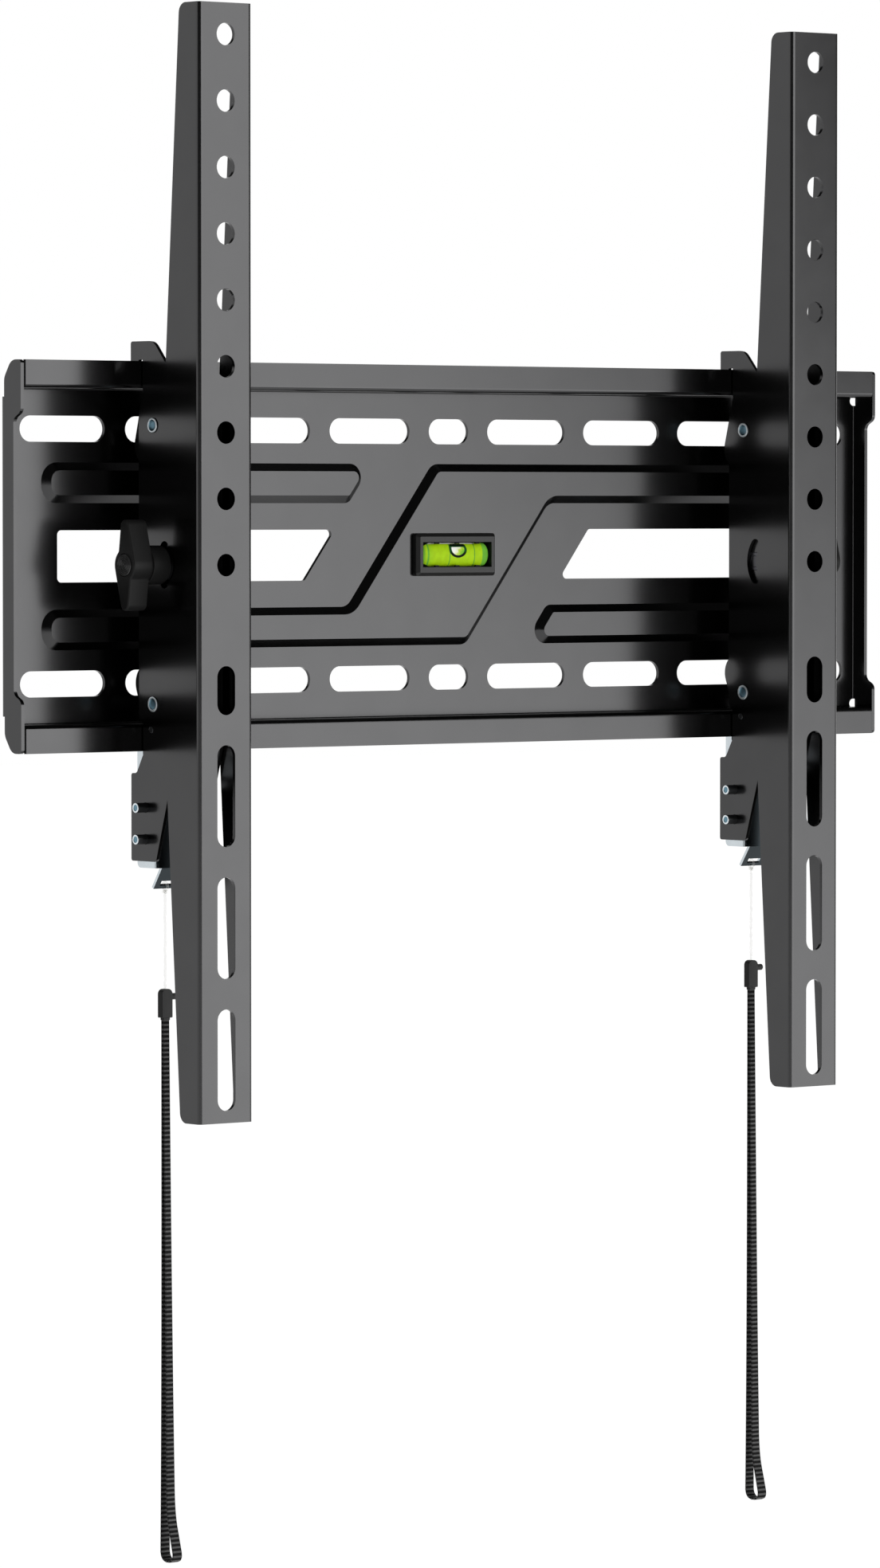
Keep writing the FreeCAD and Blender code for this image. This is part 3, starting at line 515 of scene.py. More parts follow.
def finishTree(tree, given, result, instances):
    # instances made real, with the tree's own finish
    real = tree.nodes.new("GeometryNodeRealizeInstances")
    paint = tree.nodes.new("GeometryNodeSetMaterial")
    tree.links.new(instances, real.inputs["Geometry"])
    tree.links.new(real.outputs["Geometry"], paint.inputs["Geometry"])
    tree.links.new(given.outputs["Finish"], paint.inputs["Material"])
    tree.links.new(paint.outputs["Geometry"], result.inputs["Geometry"])


def blockShape(tree, given):
    # a block with the tree's Width, Depth and Height
    size = tree.nodes.new("ShaderNodeCombineXYZ")
    for label, axis in (("Width", "X"), ("Depth", "Y"), ("Height", "Z")):
        tree.links.new(given.outputs[label], size.inputs[axis])
    block = tree.nodes.new("GeometryNodeMeshCube")
    tree.links.new(size.outputs[0], block.inputs["Size"])
    return block.outputs["Mesh"]


def runTree(piece, tree, identifiers, values):
    modifier = piece.modifiers.new(tree.name, "NODES")
    modifier.node_group = tree
    for label, value in values.items():
        modifier[identifiers[label]] = value


# folded, pressed and moulded pieces, dressed from the solids, with widths in metres
dressSettings = {
    "wall_plate": {"bevel": 0.00045, "cut": 0.00020, "segments": 3},  # pressed edges, and cut ones
    "arm": {"bevel": 0.00022, "segments": 2},
    "bracket": {"bevel": 0.00020, "segments": 2},
    "latch": {"bevel": 0.00015, "segments": 2},
    "level_housing": {"bevel": 0.00018, "segments": 2},
    "knob": {"bevel": 0.00020, "segments": 2},
    "knob_stud": {"bevel": 0.00010, "segments": 2},
    "knob_washer": {"bevel": 0.00010, "segments": 2},
    "clamp_nut": {"bevel": 0.00015, "segments": 2},
    "upper_arm_pin": {"bevel": 0.00010, "segments": 2},
    "lower_arm_pin": {"bevel": 0.00010, "segments": 2},
    "upper_latch_pin": {"bevel": 0.00022, "segments": 3},
    "lower_latch_pin": {"bevel": 0.00022, "segments": 3},
    "spring_anchor": {"bevel": 0.00015, "segments": 2, "dark": True},  # the whole piece takes its finish's dark tone, painted shade; its ends are no brighter
    "ferrule": {"bevel": 0.00018, "segments": 2},
    "ferrule_peg": {"bevel": 0.00015, "segments": 2},
}


def dressNode(node, settings):
    mesh = frame["nodes"][node].data.copy()
    work = bmesh.new()
    work.from_mesh(mesh)
    bmesh.ops.remove_doubles(work, verts=work.verts, dist=weld)
    bmesh.ops.dissolve_limit(work, angle_limit=flatAngle, verts=work.verts, edges=work.edges)
    if "cut" in settings:  # pressed edges are rounder than cut ones
        weights = work.edges.layers.float.new("bevel_weight_edge")
        for edge in work.edges:
            angle = edge.calc_face_angle(0.0)
            if angle > cutAngle:
                edge[weights] = settings["cut"] / settings["bevel"]
            elif angle > edgeAngle:
                edge[weights] = 1.0
    work.to_mesh(mesh)
    work.free()
    mesh.shade_smooth()
    piece = linkPiece("dressed_" + node, mesh)
    bevel = piece.modifiers.new("edges", "BEVEL")
    bevel.width = settings["bevel"]
    bevel.segments = settings["segments"]
    bevel.limit_method = "WEIGHT" if "cut" in settings else "ANGLE"
    bevel.angle_limit = edgeAngle
    flats = piece.modifiers.new("flats", "WEIGHTED_NORMAL")
    flats.mode = "FACE_AREA"
    flats.weight = 80
    bakeModifiers(piece)
    # faces take painted light and shade by which way they face
    if "lightTones" in finishes[slotOf[node]] and "dark" not in settings:
        paintLightTones(piece.data, sidewaysLightTone)
    return placePiece(piece, node)


for name, settings in dressSettings.items():
    for node in (name, "left_" + name, "right_" + name):
        if node in frame["nodes"]:
            dressNode(node, settings)
print("dressed pieces made")


# turned ends of the pins: rolled rims on the hollow arm pins, sunk hearts in the latch pins
pinEndSettings = {
    "rims": ((0.04, 0.0), (0.04, 0.9), (0.10, 1.5), (0.28, 1.92), (0.44, 2.10), (0.50, 2.22),
             (0.50, 2.76), (0.43, 2.90), (0.28, 2.95), (0.0, 2.95), (0.0, 1.95)),  # outward and radius, mm
    "plugs": ((-0.195, 0.0), (-0.195, 0.684), (-0.15, 1.14)),
    "hollow": 2.14,  # radius within which an end takes the hollow's painted reflection, mm
    "hollowReflectionTone": 0.5,
}


def makePinEnds(node, form):
    # the same turned form on both ends of a pin
    name = node + "_" + form
    profile = [(outward * mm, radius * mm) for outward, radius in pinEndSettings[form]]
    low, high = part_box(node)
    centre = (low + high) / 2.0
    work = bmesh.new()
    for side, x in ((-1, low.x), (1, high.x)):
        end = turnedMesh(name, profile, (x, centre.y, centre.z), side)
        work.from_mesh(end)
        bpy.data.meshes.remove(end)
    mesh = bpy.data.meshes.new(name)
    work.to_mesh(mesh)
    work.free()
    mesh.shade_smooth()
    mesh.set_sharp_from_angle(angle=math.radians(roundAngle))

    # faces in the hollow take a painted reflection, the others painted light and shade by which way they
    # face
    def tone(face):
        radius = math.hypot(face.center.y - centre.y, face.center.z - centre.z)
        if radius < pinEndSettings["hollow"] * mm:
            return pinEndSettings["hollowReflectionTone"]
        return sidewaysLightTone(face)

    paintLightTones(mesh, tone)
    placePiece(linkPiece(name, mesh), node)


for side in sides:
    for pin, form in (("arm_pin", "rims"), ("latch_pin", "plugs")):
        makePinEnds(side + "_upper_" + pin, form)
        makePinEnds(side + "_lower_" + pin, form)
print("pin rims and plugs made")


# turned rings on each knob's face
knobSettings = {
    "ringRadii": (0.7, 1.5, 2.3, 3.1, 3.9),  # mm
    "ringHeight": 0.28,
    "ringHalf": 0.24,
    "ringShape": ((-1.0, 0.01), (-0.4, 1.0), (0.4, 1.0), (1.0, 0.01)),  # shares of half width and height
    "coreHeight": 0.01,
    "steps": 48,
    "smooth": 20.0,  # degrees
}


def makeKnobRings(side, sign):
    knob = knobSettings
    node = side + "_knob"
    low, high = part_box(node)
    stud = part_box(side + "_knob_stud")
    centre = (stud[0] + stud[1]) / 2.0
    face = low.x if sign < 0 else high.x
    profile = [(knob["coreHeight"] * mm, 0.0)]
    for radius in knob["ringRadii"]:
        for offset, height in knob["ringShape"]:
            profile.append((height * knob["ringHeight"] * mm, (radius + offset * knob["ringHalf"]) * mm))
    place = (face, centre.y, centre.z)
    mesh = turnedMesh(node + "_rings", profile, place, sign, knob["steps"], knob["smooth"])
    placePiece(linkPiece(node + "_rings", mesh), node, materials["knob_rings"])


for side, sign in (("left", -1), ("right", 1)):
    makeKnobRings(side, sign)
print("knob rings made")


# screw thread of each stud
threadSettings = {
    "pitch": 0.8,  # mm
    "ridge": 0.30,
    "sink": 0.13,  # depth of the ridge's middle below the stud's surface
    "bare": 2.0,  # length without thread, half of it at each end
    "turnSteps": 24,
    "sectionSteps": 6,
}


def threadTree():
    tree, identifiers, given, result = newTree("studThread", {
        "Turns": "NodeSocketFloat", "Radius": "NodeSocketFloat", "Length": "NodeSocketFloat",
        "Ridge": "NodeSocketFloat", "Centre": "NodeSocketVector", "Finish": "NodeSocketMaterial"})
    spiral = tree.nodes.new("GeometryNodeCurveSpiral")
    spiral.inputs["Resolution"].default_value = threadSettings["turnSteps"]
    for label, socket in (("Turns", "Rotations"), ("Radius", "Start Radius"), ("Radius", "End Radius"),
                          ("Length", "Height")):
        tree.links.new(given.outputs[label], spiral.inputs[socket])
    section = tree.nodes.new("GeometryNodeCurvePrimitiveCircle")
    section.inputs["Resolution"].default_value = threadSettings["sectionSteps"]
    tree.links.new(given.outputs["Ridge"], section.inputs["Radius"])
    sweep = tree.nodes.new("GeometryNodeCurveToMesh")
    tree.links.new(spiral.outputs[0], sweep.inputs["Curve"])
    tree.links.new(section.outputs[0], sweep.inputs["Profile Curve"])
    sweep.inputs["Fill Caps"].default_value = True
    place = tree.nodes.new("GeometryNodeTransform")
    place.inputs["Rotation"].default_value = (0.0, math.radians(90.0), 0.0)
    tree.links.new(given.outputs["Centre"], place.inputs["Translation"])
    tree.links.new(sweep.outputs[0], place.inputs["Geometry"])
    finishTree(tree, given, result, place.outputs["Geometry"])
    return tree, identifiers


def makeThread(node, tree, identifiers):
    thread = threadSettings
    low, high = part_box(node)
    piece = linkPiece(node + "_thread", bpy.data.meshes.new(node + "_thread"))
    length = high.x - low.x - thread["bare"] * mm
    middle = (low + high) / 2.0
    runTree(piece, tree, identifiers, {
        "Turns": length / (thread["pitch"] * mm), "Radius": (high.z - low.z) / 2.0 - thread["sink"] * mm,
        "Length": length, "Ridge": thread["ridge"] * mm / 2.0,
        "Centre": (middle.x - length / 2.0, middle.y, middle.z), "Finish": materials["stud_steel"]})
    bakeModifiers(piece)
    piece.data.shade_smooth()
    placePiece(piece, node)


tree, identifiers = threadTree()
for side in sides:
    makeThread(side + "_knob_stud", tree, identifiers)
print("stud threads made")


# return springs, which stretch as a latch is pulled down
springSettings = {
    "wire": 0.8,  # mm
    "radius": 1.9,
    "turns": 6,
    "lead": 0.8,  # straight piece between ring and coil
    "ringAngle": 290.0,
    "ringSteps": 10,
    "turnSteps": 12,
}


def springRoute(x, y, topCentre, bottomCentre):
    # ring on the anchor, coil, and ring through the latch's web
    spring = springSettings
    radius = spring["radius"] * mm
    lead = spring["lead"] * mm

    def ring(centre, turn):
        points = []
        for i in range(spring["ringSteps"] + 1):
            angle = math.radians(turn * spring["ringAngle"] * i / spring["ringSteps"])
            points.append((x, y + radius * math.cos(angle), centre + radius * math.sin(angle)))
        return points

    points = list(reversed(ring(topCentre, 1)))
    coilTop = topCentre - radius - lead
    coilBottom = bottomCentre + radius + lead
    steps = spring["turns"] * spring["turnSteps"]
    for i in range(steps + 1):
        angle = 2.0 * math.pi * i / spring["turnSteps"]
        points.append((x + radius * math.sin(angle), y + radius * math.cos(angle),
                       coilTop + (coilBottom - coilTop) * i / steps))
    return points + ring(bottomCentre, -1)


def makeSpring(side):
    node = side + "_latch_spring"
    low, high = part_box(node)
    reach = (springSettings["radius"] + springSettings["wire"] / 2.0) * mm
    middle = (low + high) / 2.0
    top = high.z - reach
    bottom = low.z + reach
    route = springRoute(middle.x, middle.y, top, bottom)
    piece = tubePiece(node + "_wire", route, springSettings["wire"] * mm)
    piece.data.materials.append(materials["spring_steel"])
    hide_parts(node)
    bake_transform(piece)


for side in sides:
    makeSpring(side)
print("springs made")


# pull string above each ferrule and ribbed strap below it, under each latch
cordSettings = {
    "depth": -12.99,  # Y of the string, mm
    "wire": 1.0,
    "loopHeight": -125.92,
    "loopRadius": 1.55,
    "knotHeight": -128.0,
    "loopSteps": 12,
    "knotSize": 0.27,  # a third of the knot's reach
    "knotTall": 1.6,  # height of the knot, in sizes
    "knotWire": 0.8,  # thickness in the knot, in wires
    "knotSteps": 24,
    "stringPlaces": (0.0, 0.3, 0.7, 1.0),  # shares of the string's drop
    "ferruleTop": -165.2,
    "ferruleBottom": -177.2,
    "strapWidth": 2.7,
    "strapThickness": 0.55,
    "ribWidth": 2.8,
    "ribThickness": 0.75,
    "ribHeight": 0.95,
    "ribPitch": 1.75,
    "ribRounding": 0.16,
    "bandSmooth": 40.0,  # degrees
    "spread": 0.57,  # how much wider the strap is at its loop
    "spreadPower": 3.0,  # how late it widens
    "loopBottom": -384.4,
}

# Y and Z of the strap's route, mm: straight behind, round the loop at the bottom, up in front
strapRoute = (
    (-12.515, -177.2), (-12.515, -376.0), (-12.515, -384.425), (-20.95, -384.425),
    (-18.79, -376.3), (-16.07, -366.05), (-15.80, -347.0), (-13.465, -177.2),
)


def strapSpread(z):
    # the strap widens toward its loop
    cord = cordSettings
    share = (cord["ferruleBottom"] - z / mm) / (cord["ferruleBottom"] - cord["loopBottom"])
    return 1.0 + cord["spread"] * min(max(share, 0.0), 1.0) ** cord["spreadPower"]


def ribTree():
    tree, identifiers, given, result = newTree("strapRibs", {
        "Pitch": "NodeSocketFloat", "Width": "NodeSocketFloat", "Depth": "NodeSocketFloat",
        "Height": "NodeSocketFloat", "Spread": "NodeSocketFloat", "Top": "NodeSocketFloat",
        "Bottom": "NodeSocketFloat", "Finish": "NodeSocketMaterial"})
    position = tree.nodes.new("GeometryNodeInputPosition")
    parts = tree.nodes.new("ShaderNodeSeparateXYZ")
    share = tree.nodes.new("ShaderNodeMapRange")
    tree.links.new(position.outputs[0], parts.inputs[0])
    tree.links.new(parts.outputs["Z"], share.inputs["Value"])
    tree.links.new(given.outputs["Top"], share.inputs["From Min"])
    tree.links.new(given.outputs["Bottom"], share.inputs["From Max"])
    power = cordSettings["spreadPower"]
    late = calculate(tree.nodes, tree.links, "POWER", share.outputs["Result"], power)
    wider = calculate(tree.nodes, tree.links, "MULTIPLY", late, given.outputs["Spread"])
    scale = tree.nodes.new("ShaderNodeCombineXYZ")
    tree.links.new(calculate(tree.nodes, tree.links, "ADD", wider, 1.0), scale.inputs["X"])
    scale.inputs["Y"].default_value = 1.0
    scale.inputs["Z"].default_value = 1.0
    path = tree.nodes.new("GeometryNodeMeshToCurve")
    places = addNode(tree.nodes, "GeometryNodeCurveToPoints", mode="LENGTH")
    along = addNode(tree.nodes, "FunctionNodeAlignRotationToVector", axis="Z")
    across = addNode(tree.nodes, "FunctionNodeAlignRotationToVector", axis="X", pivot_axis="Z")
    across.inputs["Vector"].default_value = (1.0, 0.0, 0.0)
    ribs = tree.nodes.new("GeometryNodeInstanceOnPoints")
    tree.links.new(given.outputs["Geometry"], path.inputs["Mesh"])
    tree.links.new(path.outputs["Curve"], places.inputs["Curve"])
    tree.links.new(given.outputs["Pitch"], places.inputs["Length"])
    tree.links.new(places.outputs["Tangent"], along.inputs["Vector"])
    tree.links.new(along.outputs["Rotation"], across.inputs["Rotation"])
    tree.links.new(places.outputs["Points"], ribs.inputs["Points"])
    tree.links.new(blockShape(tree, given), ribs.inputs["Instance"])
    tree.links.new(across.outputs["Rotation"], ribs.inputs["Rotation"])
    tree.links.new(scale.outputs[0], ribs.inputs["Scale"])
    finishTree(tree, given, result, ribs.outputs["Instances"])
    return tree, identifiers


def bandMesh(name, points, width, thickness):
    # a flat band along a line in a plane square to X
    corners = []
    for i, point in enumerate(points):
        before = points[max(i - 1, 0)]
        after = points[min(i + 1, len(points) - 1)]
        along = (after - before).normalized()
        outward = Vector((0.0, -along.z, along.y)) * (thickness / 2.0)
        sideways = Vector((width * strapSpread(point.z) / 2.0, 0.0, 0.0))
        corners += [point + outward + sideways, point + outward - sideways,
                    point - outward - sideways, point - outward + sideways]
    last = 4 * (len(points) - 1)
    faces = ringFaces(len(points) - 1, 4) + [(3, 2, 1, 0), (last, last + 1, last + 2, last + 3)]
    return meshFrom(name, corners, faces, cordSettings["bandSmooth"])


def makeString(side):
    cord = cordSettings
    x = sides[side]
    y = cord["depth"] * mm
    node = side + "_pull_string"
    wire = cord["wire"] * mm

    circle = []
    for i in range(cord["loopSteps"]):
        turn = 2.0 * math.pi * i / cord["loopSteps"]
        circle.append((x, y + cord["loopRadius"] * mm * math.cos(turn),
                       cord["loopHeight"] * mm + cord["loopRadius"] * mm * math.sin(turn)))
    loop = tubePiece(node + "_loop", circle, wire, closed=True)
    placePiece(loop, node)

    tangle = []
    size = cord["knotSize"] * mm
    for i in range(cord["knotSteps"]):  # a trefoil seen from above
        turn = 2.0 * math.pi * i / cord["knotSteps"]
        tangle.append((x + size * (math.sin(turn) + 2.0 * math.sin(2.0 * turn)),
                       y + size * (math.cos(turn) - 2.0 * math.cos(2.0 * turn)),
                       cord["knotHeight"] * mm - cord["knotTall"] * size * math.sin(3.0 * turn)))
    knot = tubePiece(node + "_knot", tangle, cord["knotWire"] * wire, closed=True)
    placePiece(knot, node)

    top = (cord["loopHeight"] - cord["loopRadius"]) * mm
    drop = cord["ferruleTop"] * mm - top
    string = curveLine(node + "_line", [(x, y, top + drop * share) for share in cord["stringPlaces"]], wire)
    placePiece(string, node)


def makeStrap(side, tree, identifiers):
    cord = cordSettings
    x = sides[side]
    node = side + "_strap"
    points = linePoints(node + "_route", [(x, depth * mm, height * mm) for depth, height in strapRoute])
    # the band between the ribs is near black: painted shade in the grooves
    mesh = bandMesh(node + "_band", points, cord["strapWidth"] * mm, cord["strapThickness"] * mm)
    band = placePiece(linkPiece(node + "_band", mesh), node, materials["painted_shade_black"])

    mesh = bpy.data.meshes.new(node + "_ribs")
    mesh.from_pydata(points, [(i, i + 1) for i in range(len(points) - 1)], [])
    ribs = linkPiece(node + "_ribs", mesh)
    runTree(ribs, tree, identifiers, {
        "Pitch": cord["ribPitch"] * mm, "Width": cord["ribWidth"] * mm, "Depth": cord["ribThickness"] * mm,
        "Height": cord["ribHeight"] * mm, "Spread": cord["spread"], "Top": cord["ferruleBottom"] * mm,
        "Bottom": cord["loopBottom"] * mm, "Finish": materials["strap_black"]})
    rounded = ribs.modifiers.new("rounded", "BEVEL")
    rounded.width = cord["ribRounding"] * mm
    rounded.segments = 1
    bakeModifiers(ribs)
    placePiece(ribs, node)
    length = sum((b - a).length for a, b in zip(points, points[1:]))
    return length


tree, identifiers = ribTree()
for side in sides:
    makeString(side)
    print(side, "strap length", round(makeStrap(side, tree, identifiers), 4))


# spirit level: vial, its rings and ends, the bubble, and the teeth of the window
cloudRange = (0.3, 0.7)  # the part of a noise over which a tone changes

vialSettings = {
    "lime": (0.36, 0.60, 0.006),
    "deepLime": (0.30, 0.56, 0.010),
    "ring": (0.10, 0.33, 0.030),
    "cap": (0.13, 0.41, 0.035),
    "rim": (0.04, 0.16, 0.020),
    "leftStops": ((-17.2, "rim"), (-16.9, "lime"), (-16.2, "cap"), (-15.6, "deepLime"), (-14.9, "lime"),
                  (-14.5, "cap"), (-14.0, "ring"), (-13.7, "deepLime"), (-11.0, "lime")),  # X in mm
    "rightStops": ((13.2, "lime"), (13.4, "cap"), (16.4, "cap"), (17.0, "rim")),
    "ringPlaces": (-3.3, 9.3),  # X of the two printed rings, mm
    "ringHalf": 0.17,
    "ringStops": ((-1.6, "lime"), (-1.0, "ring"), (1.0, "ring"), (1.6, "lime")),  # in ring halves
    "clouds": 420.0,
    "cloudTones": (0.93, 1.05),
    "pale": (0.95, 0.95, 0.88),  # a painted highlight along the top of the tube
    "paleUp": (4.15, 4.25),  # Z between which it starts, mm
    "paleLeft": (-15.2, -14.6),  # X between which it starts
    "paleRight": (9.6, 10.2),  # X between which it ends
    "roughness": 0.45,
    "specular": 0.08,
    "leftRound": (-9.5, 9.0),  # X of the middle and reach of each rounded end, mm
    "rightRound": (12.3, 6.4),
    "halfHeight": 4.75,
    "shadow": (0.003, 0.008, 0.003),  # the window beyond the rounded ends
    "shadowFade": 1.08,  # how far past the ends the dark is full, the ends being 1
}

bubbleSettings = {
    "centre": (0.85, 2.1),  # X and Z, mm
    "half": (4.5, 3.35),
    "flatTop": 4.1,
    "heart": 0.72,  # the pale middle's share of the bubble
    "core": 0.02,  # the share that its innermost ring has
    "topBand": 1.15,  # height of the dark band along the flat top, mm
    "proud": 0.06,
    "around": 48,
    "rows": 10,
    "smooth": 60.0,  # degrees
    "edgeGloss": (0.40, 0.05),  # roughness and specular
    "edgeShade": (0.002, 0.006, 0.002),
    "edgeGreen": (0.010, 0.085, 0.016),
    "greenFrom": (0.2, 1.8),  # Z between which the edge turns green, mm
    "greenTo": (3.1, 3.4),
    "heartGloss": (0.30, 0.10),
    "heartHighlightTones": ((0.0, (0.16, 0.50, 0.02)), (0.35, (0.42, 0.62, 0.05)),
                   (0.62, (0.62, 0.72, 0.22)), (1.0, (0.88, 0.90, 0.82))),
    "heartSlope": (-3.0, 2.6),  # Z less X between which the heart turns pale, a painted highlight toward the upper left, mm
    "clouds": 700.0,
    "ripple": 0.8,  # how far the clouds shift that change, mm
}

toothSettings = {
    "middle": (0.0, 0.0),  # X and Z, mm
    "spread": (20.6, 9.20),
    "size": (2.0, 0.8, 0.80),
    "inset": 0.45,
}


def rampAlong(nodes, links, axis, places, low=0.0, high=1.0):
    # a ramp between two places in mm
    return rampBetween(nodes, links, axis, places[0] * mm, places[1] * mm, low, high)


def glossMaterial(name, roughness, specular):
    material, nodes, links = newMaterial(name)
    shader = nodes["Principled BSDF"].inputs
    shader["Roughness"].default_value = roughness
    shader["Specular IOR Level"].default_value = specular
    return material, nodes, links, shader["Base Color"]


def vialStops(half):
    # the tints along the tube: rounded left end, printed rings, green right end
    vial = vialSettings
    stops = list(vial["leftStops"])
    for x in vial["ringPlaces"]:
        stops += [(x + offset * vial["ringHalf"], tint) for offset, tint in vial["ringStops"]]
    stops += vial["rightStops"]
    return [((x * mm + half) / (2.0 * half), vial[tint]) for x, tint in stops]


def pastVialEnds(nodes, links, axes):
    # 1 beyond the tube's rounded ends
    vial = vialSettings
    height = calculate(nodes, links, "DIVIDE", axes["Z"], vial["halfHeight"] * mm)
    height = calculate(nodes, links, "MULTIPLY", height, height)
    sums = []
    for middle, reach in (vial["leftRound"], vial["rightRound"]):
        beyond = calculate(nodes, links, "SUBTRACT", axes["X"], middle * mm)
        beyond = calculate(nodes, links, "DIVIDE", beyond, math.copysign(reach * mm, middle))
        beyond = calculate(nodes, links, "MAXIMUM", beyond, 0.0)
        beyond = calculate(nodes, links, "MULTIPLY", beyond, beyond)
        sums.append(calculate(nodes, links, "ADD", beyond, height))
    farther = calculate(nodes, links, "MAXIMUM", *sums)
    return rampBetween(nodes, links, farther, 1.0, vial["shadowFade"])


def makeVialFinish(half):
    vial = vialSettings
    material, nodes, links, colour = glossMaterial("vial_green", vial["roughness"], vial["specular"])
    coords, axes = readAxes(nodes, links)
    place = rampBetween(nodes, links, axes["X"], -half, half, 0.0, 1.0, "LINEAR")
    tint = colourRamp(nodes, links, place, vialStops(half))
    cloud = makeNoise(nodes, links, coords, vial["clouds"])
    shade = rampBetween(nodes, links, cloud, *cloudRange, *vial["cloudTones"])
    tone = mixColours(nodes, links, 1.0, tint, shade, "MULTIPLY")
    # a painted highlight: a pale line along the top of the tube
    high = rampAlong(nodes, links, axes["Z"], vial["paleUp"])
    inside = rampAlong(nodes, links, axes["X"], vial["paleRight"], 1.0, 0.0)
    beyond = rampAlong(nodes, links, axes["X"], vial["paleLeft"])
    edge = calculate(nodes, links, "MULTIPLY", calculate(nodes, links, "MULTIPLY", high, inside), beyond)
    pale = mixColours(nodes, links, edge, tone, vial["pale"])
    dark = mixColours(nodes, links, pastVialEnds(nodes, links, axes), pale, vial["shadow"])
    links.new(dark, colour)
    return material


def makeVial():
    low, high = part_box("level_vial")
    half = (high.x - low.x) / 2.0
    material = makeVialFinish(half)
    mesh = frame["nodes"]["level_vial"].data.copy()
    work = bmesh.new()
    work.from_mesh(mesh)
    bmesh.ops.remove_doubles(work, verts=work.verts, dist=weld)
    work.to_mesh(mesh)
    work.free()
    mesh.shade_smooth()
    mesh.set_sharp_from_angle(angle=math.radians(roundAngle))
    placePiece(linkPiece("dressed_level_vial", mesh), "level_vial", material)


def makeBubbleFinishes():
    bubble = bubbleSettings
    # the bubble's outline is painted near black, painted shade, and green between greenFrom and greenTo
    edge, nodes, links, colour = glossMaterial("bubble_edge", *bubble["edgeGloss"])
    axes = readAxes(nodes, links)[1]
    above = rampAlong(nodes, links, axes["Z"], bubble["greenFrom"])
    below = rampAlong(nodes, links, axes["Z"], bubble["greenTo"], 1.0, 0.0)
    share = calculate(nodes, links, "MULTIPLY", above, below)
    links.new(mixColours(nodes, links, share, bubble["edgeShade"], bubble["edgeGreen"]), colour)

    # the heart runs from green to pale toward the upper left: a painted highlight
    heart, nodes, links, colour = glossMaterial("bubble_heart", *bubble["heartGloss"])
    coords, axes = readAxes(nodes, links)
    cloud = makeNoise(nodes, links, coords, bubble["clouds"])
    reach = bubble["ripple"] * mm
    ripple = rampBetween(nodes, links, cloud, *cloudRange, -reach, reach)
    slope = calculate(nodes, links, "SUBTRACT", axes["Z"], axes["X"])
    slope = calculate(nodes, links, "ADD", slope, ripple)
    share = rampAlong(nodes, links, slope, bubble["heartSlope"])
    links.new(colourRamp(nodes, links, share, bubble["heartHighlightTones"]), colour)
    return edge, heart


def bubbleMesh(name, inner, outer):
    # a patch of the tube's front between two outlines of the bubble, each a share and a flat top
    low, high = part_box("level_vial")
    middle = (low + high) / 2.0
    depth = (high.y - low.y) / 2.0
    radius = (high.z - low.z) / 2.0
    bubble = bubbleSettings
    corners = []
    for row in range(bubble["rows"] + 1):
        size = inner[0] + (outer[0] - inner[0]) * row / bubble["rows"]
        roof = inner[1] + (outer[1] - inner[1]) * row / bubble["rows"]
        for i in range(bubble["around"]):
            turn = 2.0 * math.pi * i / bubble["around"]
            x = (bubble["centre"][0] + bubble["half"][0] * size * math.cos(turn)) * mm
            z = (bubble["centre"][1] + bubble["half"][1] * size * math.sin(turn)) * mm
            z = min(z, roof * mm)
            bulge = math.sqrt(max(0.0, 1.0 - ((z - middle.z) / radius) ** 2))
            corners.append((x, middle.y - depth * bulge - bubble["proud"] * mm, z))
    return meshFrom(name, corners, ringFaces(bubble["rows"], bubble["around"]), bubble["smooth"])


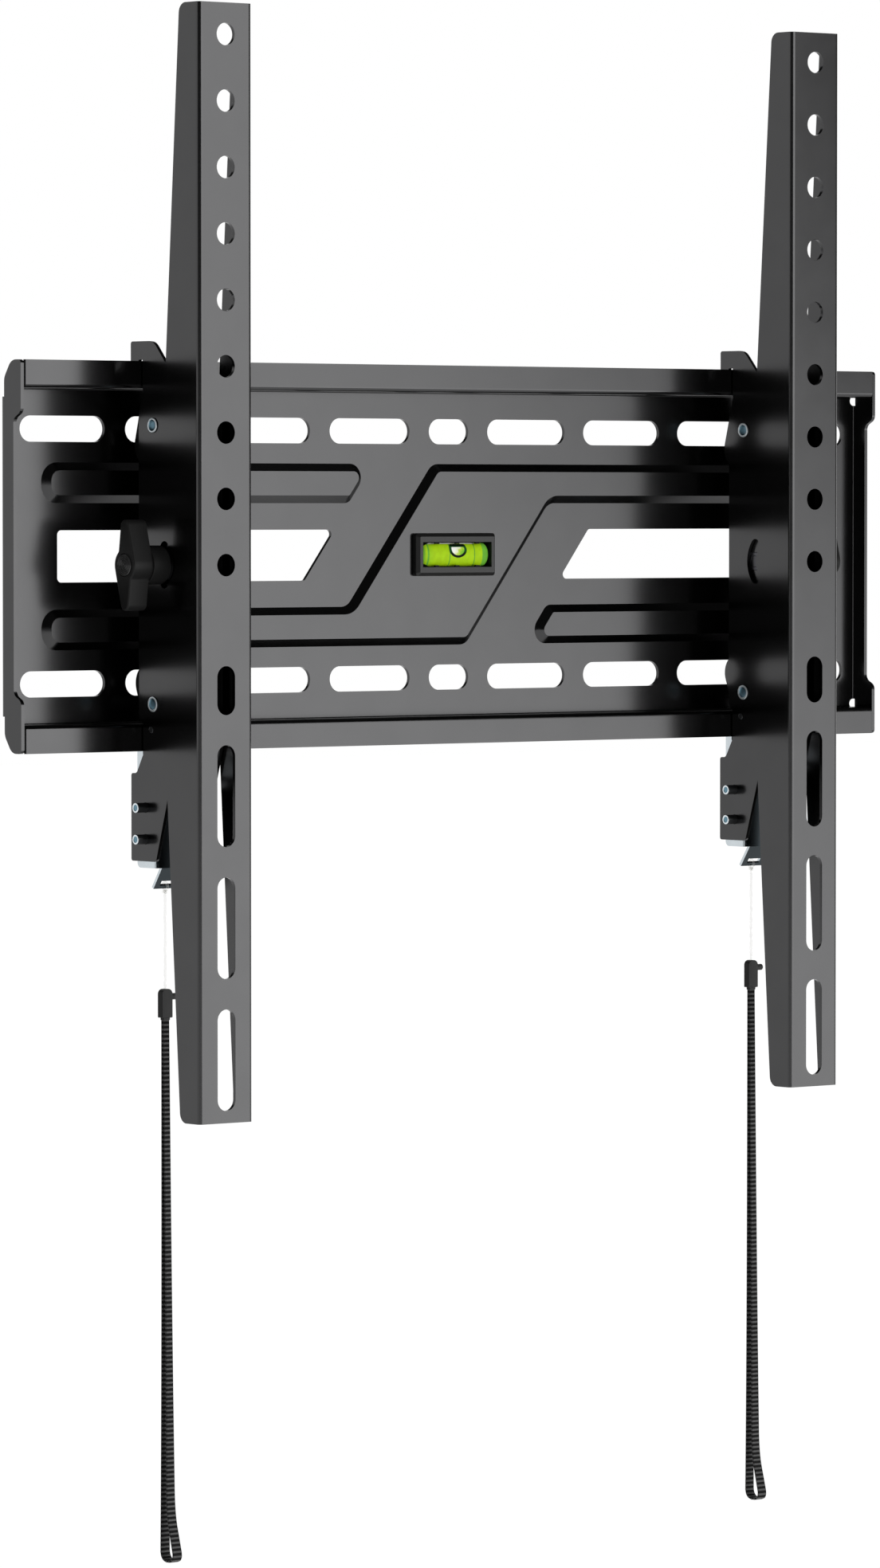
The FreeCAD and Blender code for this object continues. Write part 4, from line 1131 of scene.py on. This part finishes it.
def makeBubble():
    bubble = bubbleSettings
    edgeFinish, heartFinish = makeBubbleFinishes()
    rim = (1.0, bubble["flatTop"])
    heart = (bubble["heart"], bubble["flatTop"] - bubble["topBand"])
    core = (bubble["core"], bubble["centre"][1])
    placePiece(linkPiece("bubble_edge", bubbleMesh("bubble_edge", heart, rim)), "level_vial", edgeFinish)
    placePiece(linkPiece("bubble_heart", bubbleMesh("bubble_heart", core, heart)), "level_vial", heartFinish)


def toothTree():
    tree, identifiers, given, result = newTree("windowTeeth", {
        "Spread Across": "NodeSocketFloat", "Spread Up": "NodeSocketFloat", "Width": "NodeSocketFloat",
        "Depth": "NodeSocketFloat", "Height": "NodeSocketFloat", "Centre": "NodeSocketVector",
        "Finish": "NodeSocketMaterial"})
    grid = tree.nodes.new("GeometryNodeMeshGrid")
    grid.inputs["Vertices X"].default_value = 3
    grid.inputs["Vertices Y"].default_value = 2
    tree.links.new(given.outputs["Spread Across"], grid.inputs["Size X"])
    tree.links.new(given.outputs["Spread Up"], grid.inputs["Size Y"])
    stand = tree.nodes.new("GeometryNodeTransform")
    stand.inputs["Rotation"].default_value = (math.radians(90.0), 0.0, 0.0)
    tree.links.new(grid.outputs["Mesh"], stand.inputs["Geometry"])
    tree.links.new(given.outputs["Centre"], stand.inputs["Translation"])
    teeth = tree.nodes.new("GeometryNodeInstanceOnPoints")
    tree.links.new(stand.outputs["Geometry"], teeth.inputs["Points"])
    tree.links.new(blockShape(tree, given), teeth.inputs["Instance"])
    finishTree(tree, given, result, teeth.outputs["Instances"])
    return tree, identifiers


def makeTeeth():
    tooth = toothSettings
    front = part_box("level_housing")[0].y
    tree, identifiers = toothTree()
    # near-black matt blocks at the window's edges: painted shade standing in for its shadowed notches
    piece = linkPiece("window_teeth", bpy.data.meshes.new("window_teeth"))
    runTree(piece, tree, identifiers, {
        "Spread Across": tooth["spread"][0] * mm, "Spread Up": tooth["spread"][1] * mm,
        "Width": tooth["size"][0] * mm, "Depth": tooth["size"][1] * mm, "Height": tooth["size"][2] * mm,
        "Centre": (tooth["middle"][0] * mm, front + tooth["inset"] * mm, tooth["middle"][1] * mm),
        "Finish": materials["painted_shade_black"]})
    bakeModifiers(piece)
    placePiece(piece, "level_housing", materials["painted_shade_black"])


makeVial()
makeBubble()
makeTeeth()
print("spirit level made")
